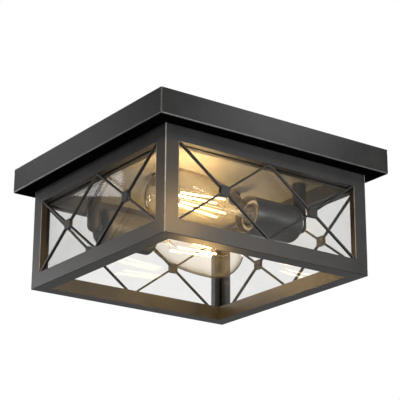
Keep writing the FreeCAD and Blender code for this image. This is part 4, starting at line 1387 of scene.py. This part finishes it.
@dataclass
class Fixings:
    """Crossbar, studs, nuts, threaded tubes and screws."""

    nipple: float = 5.0 * MM
    nipple_bore: float = 3.5 * MM
    nipple_length: float = 21.0 * MM
    nipple_seat: float = 9.0 * MM
    nipple_pitch: float = 0.94 * MM
    lamp_nipple_at: float = 0.8 * MM
    lamp_nut_at: float = 9.3 * MM
    nut_across: float = 14.0 * MM
    nut_height: float = 3.2 * MM
    nut_play: float = 0.05 * MM
    stud: float = 2.1 * MM
    stud_pitch: float = 0.8 * MM
    stud_nut_across: float = 8.8 * MM
    cap_ball: float = 7.5 * MM
    cap_collar: float = 6.0 * MM
    cap_bore: float = 2.15 * MM
    cap_bore_end: float = 3.0 * MM
    cap_shoulder: float = 5.2 * MM
    cap_bevel: float = 0.4 * MM
    shank: float = 2.1 * MM
    head: float = 3.7 * MM
    head_height: float = 2.2 * MM
    recess: tuple = (3.6 * MM, 0.8 * MM, 2.4 * MM)
    screw_x: float = 80.0 * MM

    def make_cap_nuts(self) -> None:
        """Domed nuts under the pan, with a flat-sided collar."""
        r, collar, bore, bore_end = self.cap_ball, self.cap_collar, self.cap_bore, self.cap_bore_end
        bevel = self.cap_bevel
        for side in ("left", "right"):
            name = f"cap_nut_{side}"
            at, top = footing(name)
            profile = [(0, 0)] + arc((0, r), r, -86, math.degrees(math.acos(collar / r)), 20)
            profile += [(collar, r + self.cap_shoulder), (collar, top - bevel), (collar - bevel, top)]
            profile += [(bore, top), (bore, bore_end), (0, bore_end)]
            made = mesh_piece(f"domed_nut_{side}", lathe(profile, at, 56), Finish.BLACK)
            hand_in(made, name, "black_metal", name)

    def threaded(
        self, name: str, node: str, radius: float, bore: float, ends: list[tuple[Matrix, float]],
        pitch: float,
    ) -> None:
        """Threaded rods or tubes, wound by the thread's node tree.

        Args:
            name: The piece's name.
            node: The node that it replaces.
            radius: Outside radius of the thread.
            bore: Inside radius, or 0 for a solid rod.
            ends: Place and length of each.
            pitch: The thread's pitch.
        """
        ridge, bevel = pitch * 0.3, 0.3 * MM
        root = radius - ridge
        lift = Matrix.Translation((0, 0, 2 * ridge))
        parts = []
        for number, (at, length) in enumerate(ends):
            profile = [(root - bevel, 0), (root, bevel), (root, length - bevel), (root - bevel, length)]
            profile = profile + [(bore, length), (bore, 0)] if bore else [(0, 0)] + profile + [(0, length)]
            core = as_mesh(f"{name}_core_{number}", lathe(profile, Matrix(), 40))
            wound = helix_mesh(f"{name}_wound_{number}", root, length - 4 * ridge, pitch, ridge, Finish.ZINC)
            parts += [(core, at), (wound, at @ lift)]
        hand_in(merge(parts, name, Finish.ZINC), "lantern", "zinc_steel", node)

    def stud_spots(self) -> list[Vector]:
        """Lower end of each stud."""
        low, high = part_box("mounting_studs")
        return [Vector((x, (low.y + high.y) / 2, low.z)) for x in (low.x + self.stud, high.x - self.stud)]

    def make_threads(self) -> None:
        """Studs and threaded tubes."""
        length = footing("mounting_studs")[1]
        rods = [(Matrix.Translation(spot), length) for spot in self.stud_spots()]
        self.threaded("wound_studs", "mounting_studs", self.stud, 0.0, rods, self.stud_pitch)
        tubes, length = [], self.nipple_length
        for end in LampEnd:
            foot, height = footing(f"lamp_post_{end.word}")
            upright = foot @ Matrix.Translation((0, 0, height - self.nipple_seat))
            tubes += [(upright, length), (along(end, self.lamp_nipple_at), length)]
        bore, pitch = self.nipple_bore, self.nipple_pitch
        self.threaded("wound_tubes", "threaded_nipples", self.nipple, bore, tubes, pitch)

    def make_nuts(self) -> None:
        """Hexagonal lock nuts."""
        shape = bmesh.new()
        bore = self.nipple + self.nut_play
        for end in LampEnd:
            upright = footing(f"lamp_post_{end.word}")[0]
            upright.translation.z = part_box("post_washers")[1].z
            hexagon(shape, self.nut_across, self.nut_height, bore, upright)
            hexagon(shape, self.nut_across, self.nut_height, bore, along(end, self.lamp_nut_at))
        hand_in(mesh_piece("hex_nuts", shape, Finish.ZINC, 20), "lantern", "zinc_steel", "nipple_nuts")
        shape = bmesh.new()
        low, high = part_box("stud_nuts")
        for spot in self.stud_spots():
            at = Matrix.Translation((spot.x, 0, low.z))
            hexagon(shape, self.stud_nut_across, high.z - low.z, self.stud + self.nut_play, at)
        hand_in(mesh_piece("stud_hex_nuts", shape, Finish.ZINC, 20), "lantern", "zinc_steel", "stud_nuts")

    def screw_mesh(self, length: float) -> bpy.types.Mesh:
        """Pan-head screw with a crossed recess, head upwards from its seat.

        Args:
            length: Length under the head.

        Returns:
            The mesh.
        """
        r, height, shank = self.head, self.head_height, self.shank
        profile = [(0, -length), (1.5 * MM, -length), (shank, -length + 0.8 * MM), (shank, 0), (r, 0)]
        profile += arc((r - height, 0.1 * MM), height, 0, 90, 8) + [(0, height)]
        shape = lathe([(a, min(z, height)) for a, z in profile], Matrix(), 32)
        bmesh.ops.remove_doubles(shape, verts=shape.verts, dist=SAME_POINT)
        bmesh.ops.recalc_face_normals(shape, faces=shape.faces)
        return self.recessed(as_mesh("pan_head", shape))

    def recessed(self, mesh: bpy.types.Mesh) -> bpy.types.Mesh:
        """Cut the crossed recess into a screw's head.

        Args:
            mesh: The plain screw.

        Returns:
            The cut mesh.
        """
        cross = bmesh.new()
        lift = Matrix.Translation((0, 0, self.head_height))
        for turn in (0, 90):
            slit = Matrix.Rotation(math.radians(turn), 4, "Z") @ Matrix.Diagonal((*self.recess, 1))
            bmesh.ops.create_cube(cross, size=1.0, matrix=lift @ slit)
        host, tool = linked("plain_screw", mesh), linked("recess", as_mesh("recess", cross))
        cut = host.modifiers.new("cut", "BOOLEAN")
        cut.operation = "DIFFERENCE"
        cut.object = tool
        cut.solver = "EXACT"
        cut.use_self = True
        made = evaluated(host)
        bpy.data.objects.remove(host)
        bpy.data.objects.remove(tool)
        return made

    def make_screws(self) -> None:
        """The frame's eight screws, spread by the copying tree, and the ground screw."""
        low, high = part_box("frame_screws")
        seat = high.z - self.head_height
        screw = self.screw_mesh(seat - low.z)
        spots = [(x, low.y + self.head, seat) for x in (-self.screw_x, self.screw_x)]
        pair = joined("screw_pair", [(screw, Matrix.Translation(spot)) for spot in spots])
        ring = copies_mesh("screw_ring", pair, 4, Finish.ZINC)
        made = merge([(ring, Matrix())], "pan_head_screws", Finish.ZINC)
        hand_in(made, "lantern", "zinc_steel", "frame_screws")
        foot, height = footing("ground_screw")
        at = foot @ Matrix.Translation((0, 0, self.head_height)) @ Matrix.Rotation(math.pi, 4, "X")
        screw = self.screw_mesh(height - self.head_height)
        made = merge([(screw, at)], "green_ground_screw", Finish.GREEN)
        hand_in(made, "lantern", "green_screw", "ground_screw")

    def build(self) -> None:
        """Make the fixings and dress the plain ones."""
        dress(["mounting_crossbar", "post_washers"], Finish.ZINC)
        self.make_cap_nuts()
        self.make_threads()
        self.make_nuts()
        self.make_screws()


# ------------------------------------------------------------------ studio and camera


@dataclass
class Studio:
    """Pale floor, white surroundings and soft lights."""

    floor_level: float = -2.2
    floor_half: float = 9.0
    floor_colour: tuple = (0.86, 0.86, 0.86, 1)
    floor_seen: tuple = (0.95, 0.95, 0.95, 1)
    seen_share: float = 0.5
    ambient: float = 0.6
    mirrored: float = 0.33
    aim: tuple = (0, 0, -0.08)
    halo_colour: tuple = (1.0, 0.62, 0.22)
    halo_radius: float = 20.0 * MM
    halo_lights: tuple = ("bottom_rail_front", "bottom_rail_left", "corner_post_front_left")
    lights: tuple = (
        ("key", (0.64, -0.94, 0.485), 0.12, 0.26, 1.0),
        ("side_key", (-0.94, 1.44, 0.64), 0.20, 0.26, 0.34),
        ("low_key", (0.34, -0.86, -0.10), 0.26, 0.30, 6.4),
        ("low_fill", (-0.86, 1.15, 0.02), 0.34, 0.30, 5.0),
        ("back_fill", (1.05, 0.35, 0.25), 0.50, 0.50, 5.0),
        ("rear_fill", (0.0, 1.20, 0.25), 0.50, 0.50, 5.0),
    )
    halos: tuple = (
        ("front_halo", (-0.055, -0.234, -0.088), 0.8),
        ("side_halo", (-0.234, -0.060, -0.088), 0.45),
        ("under_halo", (0.030, 0.030, -0.205), 0.35),
    )

    def make_floor(self) -> None:
        """Plain pale floor under the lantern."""
        shape = bmesh.new()
        half = self.floor_half
        corners = [(-half, -half), (half, -half), (half, half), (-half, half)]
        shape.faces.new([shape.verts.new((x, y, self.floor_level)) for x, y in corners])
        mesh = as_mesh("floor", shape)
        graph = Graph("pale_floor")
        plain = graph.add("ShaderNodeBsdfDiffuse", {}, {"Color": self.floor_colour})
        bright = graph.add("ShaderNodeEmission", {}, {"Color": self.floor_seen})
        seen = Wire(graph, graph.add("ShaderNodeLightPath").outputs["Is Camera Ray"])
        mesh.materials.append(graph.finish(graph.share_out(seen * self.seen_share, plain, bright)))
        linked("floor", mesh)

    def make_world(self) -> None:
        """White for what the camera and glass see, and plain levels for gloss and for the light."""
        world = bpy.data.worlds.new("studio")
        bpy.context.scene.world = world
        world.use_nodes = True
        nodes = Nodes(world.node_tree)
        rays = nodes.add("ShaderNodeLightPath").outputs
        shade = nodes.add("ShaderNodeBackground", {}, {"Color": WHITE, "Strength": self.ambient})
        levels = {"Is Glossy Ray": self.mirrored, "Is Transmission Ray": 1.0, "Is Camera Ray": 1.0}
        for ray, level in levels.items():
            plain = nodes.add("ShaderNodeBackground", {}, {"Color": WHITE, "Strength": level})
            shade = nodes.share_out(rays[ray], shade, plain)
        nodes.add("ShaderNodeOutputWorld", {}, {0: shade.outputs[0]})

    def add_light(self, name: str, spot: tuple, wide: float, high: float, energy: float) -> None:
        """Soft light aimed at the lantern.

        Args:
            name: Its name.
            spot: Where it stands.
            wide: Its width.
            high: Its height.
            energy: Its power in watts.
        """
        data = bpy.data.lights.new(name, "AREA")
        data.shape = "RECTANGLE"
        data.size, data.size_y, data.energy = wide, high, energy
        thing = linked(name, data)
        thing.location = spot
        thing.rotation_mode = "QUATERNION"
        thing.rotation_quaternion = (Vector(self.aim) - Vector(spot)).to_track_quat("-Z", "Y")
        thing.visible_camera = thing.visible_transmission = False

    def add_halo(self, name: str, spot: tuple, power: float) -> None:
        """Warm halo of the lit lamp on the frame's near corner, at a spot and with a power in watts."""
        near = [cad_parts[node] for node in self.halo_lights]
        WarmLight(name, power, self.halo_colour, self.halo_radius).make(spot, near, "INCLUDE")

    def build(self) -> None:
        """Make floor, world and lights."""
        self.make_floor()
        self.make_world()
        for light in self.lights:
            self.add_light(*light)
        for halo in self.halos:
            self.add_halo(*halo)


@dataclass
class PhotoCamera:
    """Camera at the photograph's viewpoint, with its focal length and middle in pixels."""

    spot: tuple = (-0.9226, -1.3036, -0.5977)
    yaw: float = 34.84
    pitch: float = 19.84
    roll: float = 0.49
    focal_px: float = 1497.4
    image_px: float = 400.0
    centre_px: tuple = (185.96, 178.06)
    sensor_width: float = 36.0
    clip: tuple = (0.01, 50.0)

    def build(self) -> None:
        """Make the camera."""
        yaw, pitch, roll = (math.radians(a) for a in (self.yaw, self.pitch, self.roll))
        ahead = Vector((math.sin(yaw) * math.cos(pitch), math.cos(yaw) * math.cos(pitch), math.sin(pitch)))
        level = Vector((math.cos(yaw), -math.sin(yaw), 0))
        over = level.cross(ahead)
        right = math.cos(roll) * level + math.sin(roll) * over
        up = -math.sin(roll) * level + math.cos(roll) * over
        data = bpy.data.cameras.new("photo_camera")
        data.sensor_width = self.sensor_width
        data.lens = self.focal_px / self.image_px * data.sensor_width
        data.shift_x = (self.image_px / 2 - self.centre_px[0]) / self.image_px
        data.shift_y = (self.centre_px[1] - self.image_px / 2) / self.image_px
        data.clip_start, data.clip_end = self.clip
        thing = linked("photo_camera", data)
        thing.matrix_world = Matrix.Translation(self.spot) @ Matrix((right, up, -ahead)).transposed().to_4x4()
        bpy.context.scene.camera = thing


def write_sizes() -> None:
    """Update the view layer.
    """
    bpy.context.view_layer.update()


def main() -> None:
    """Build the scene."""
    logging.basicConfig(level=logging.INFO, format="%(name)s: %(message)s")
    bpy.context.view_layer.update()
    bpy.context.scene.view_settings.view_transform = "Standard"
    bpy.context.scene.cycles.transparent_max_bounces = CLEAR_LAYERS
    PhotoCamera().build()
    Studio().build()
    Housing().build()
    Lattice().build()
    for end in LampEnd:
        Lamp(end).build()
    Fixings().build()
    write_sizes()


if __name__ == "__main__":
    main()
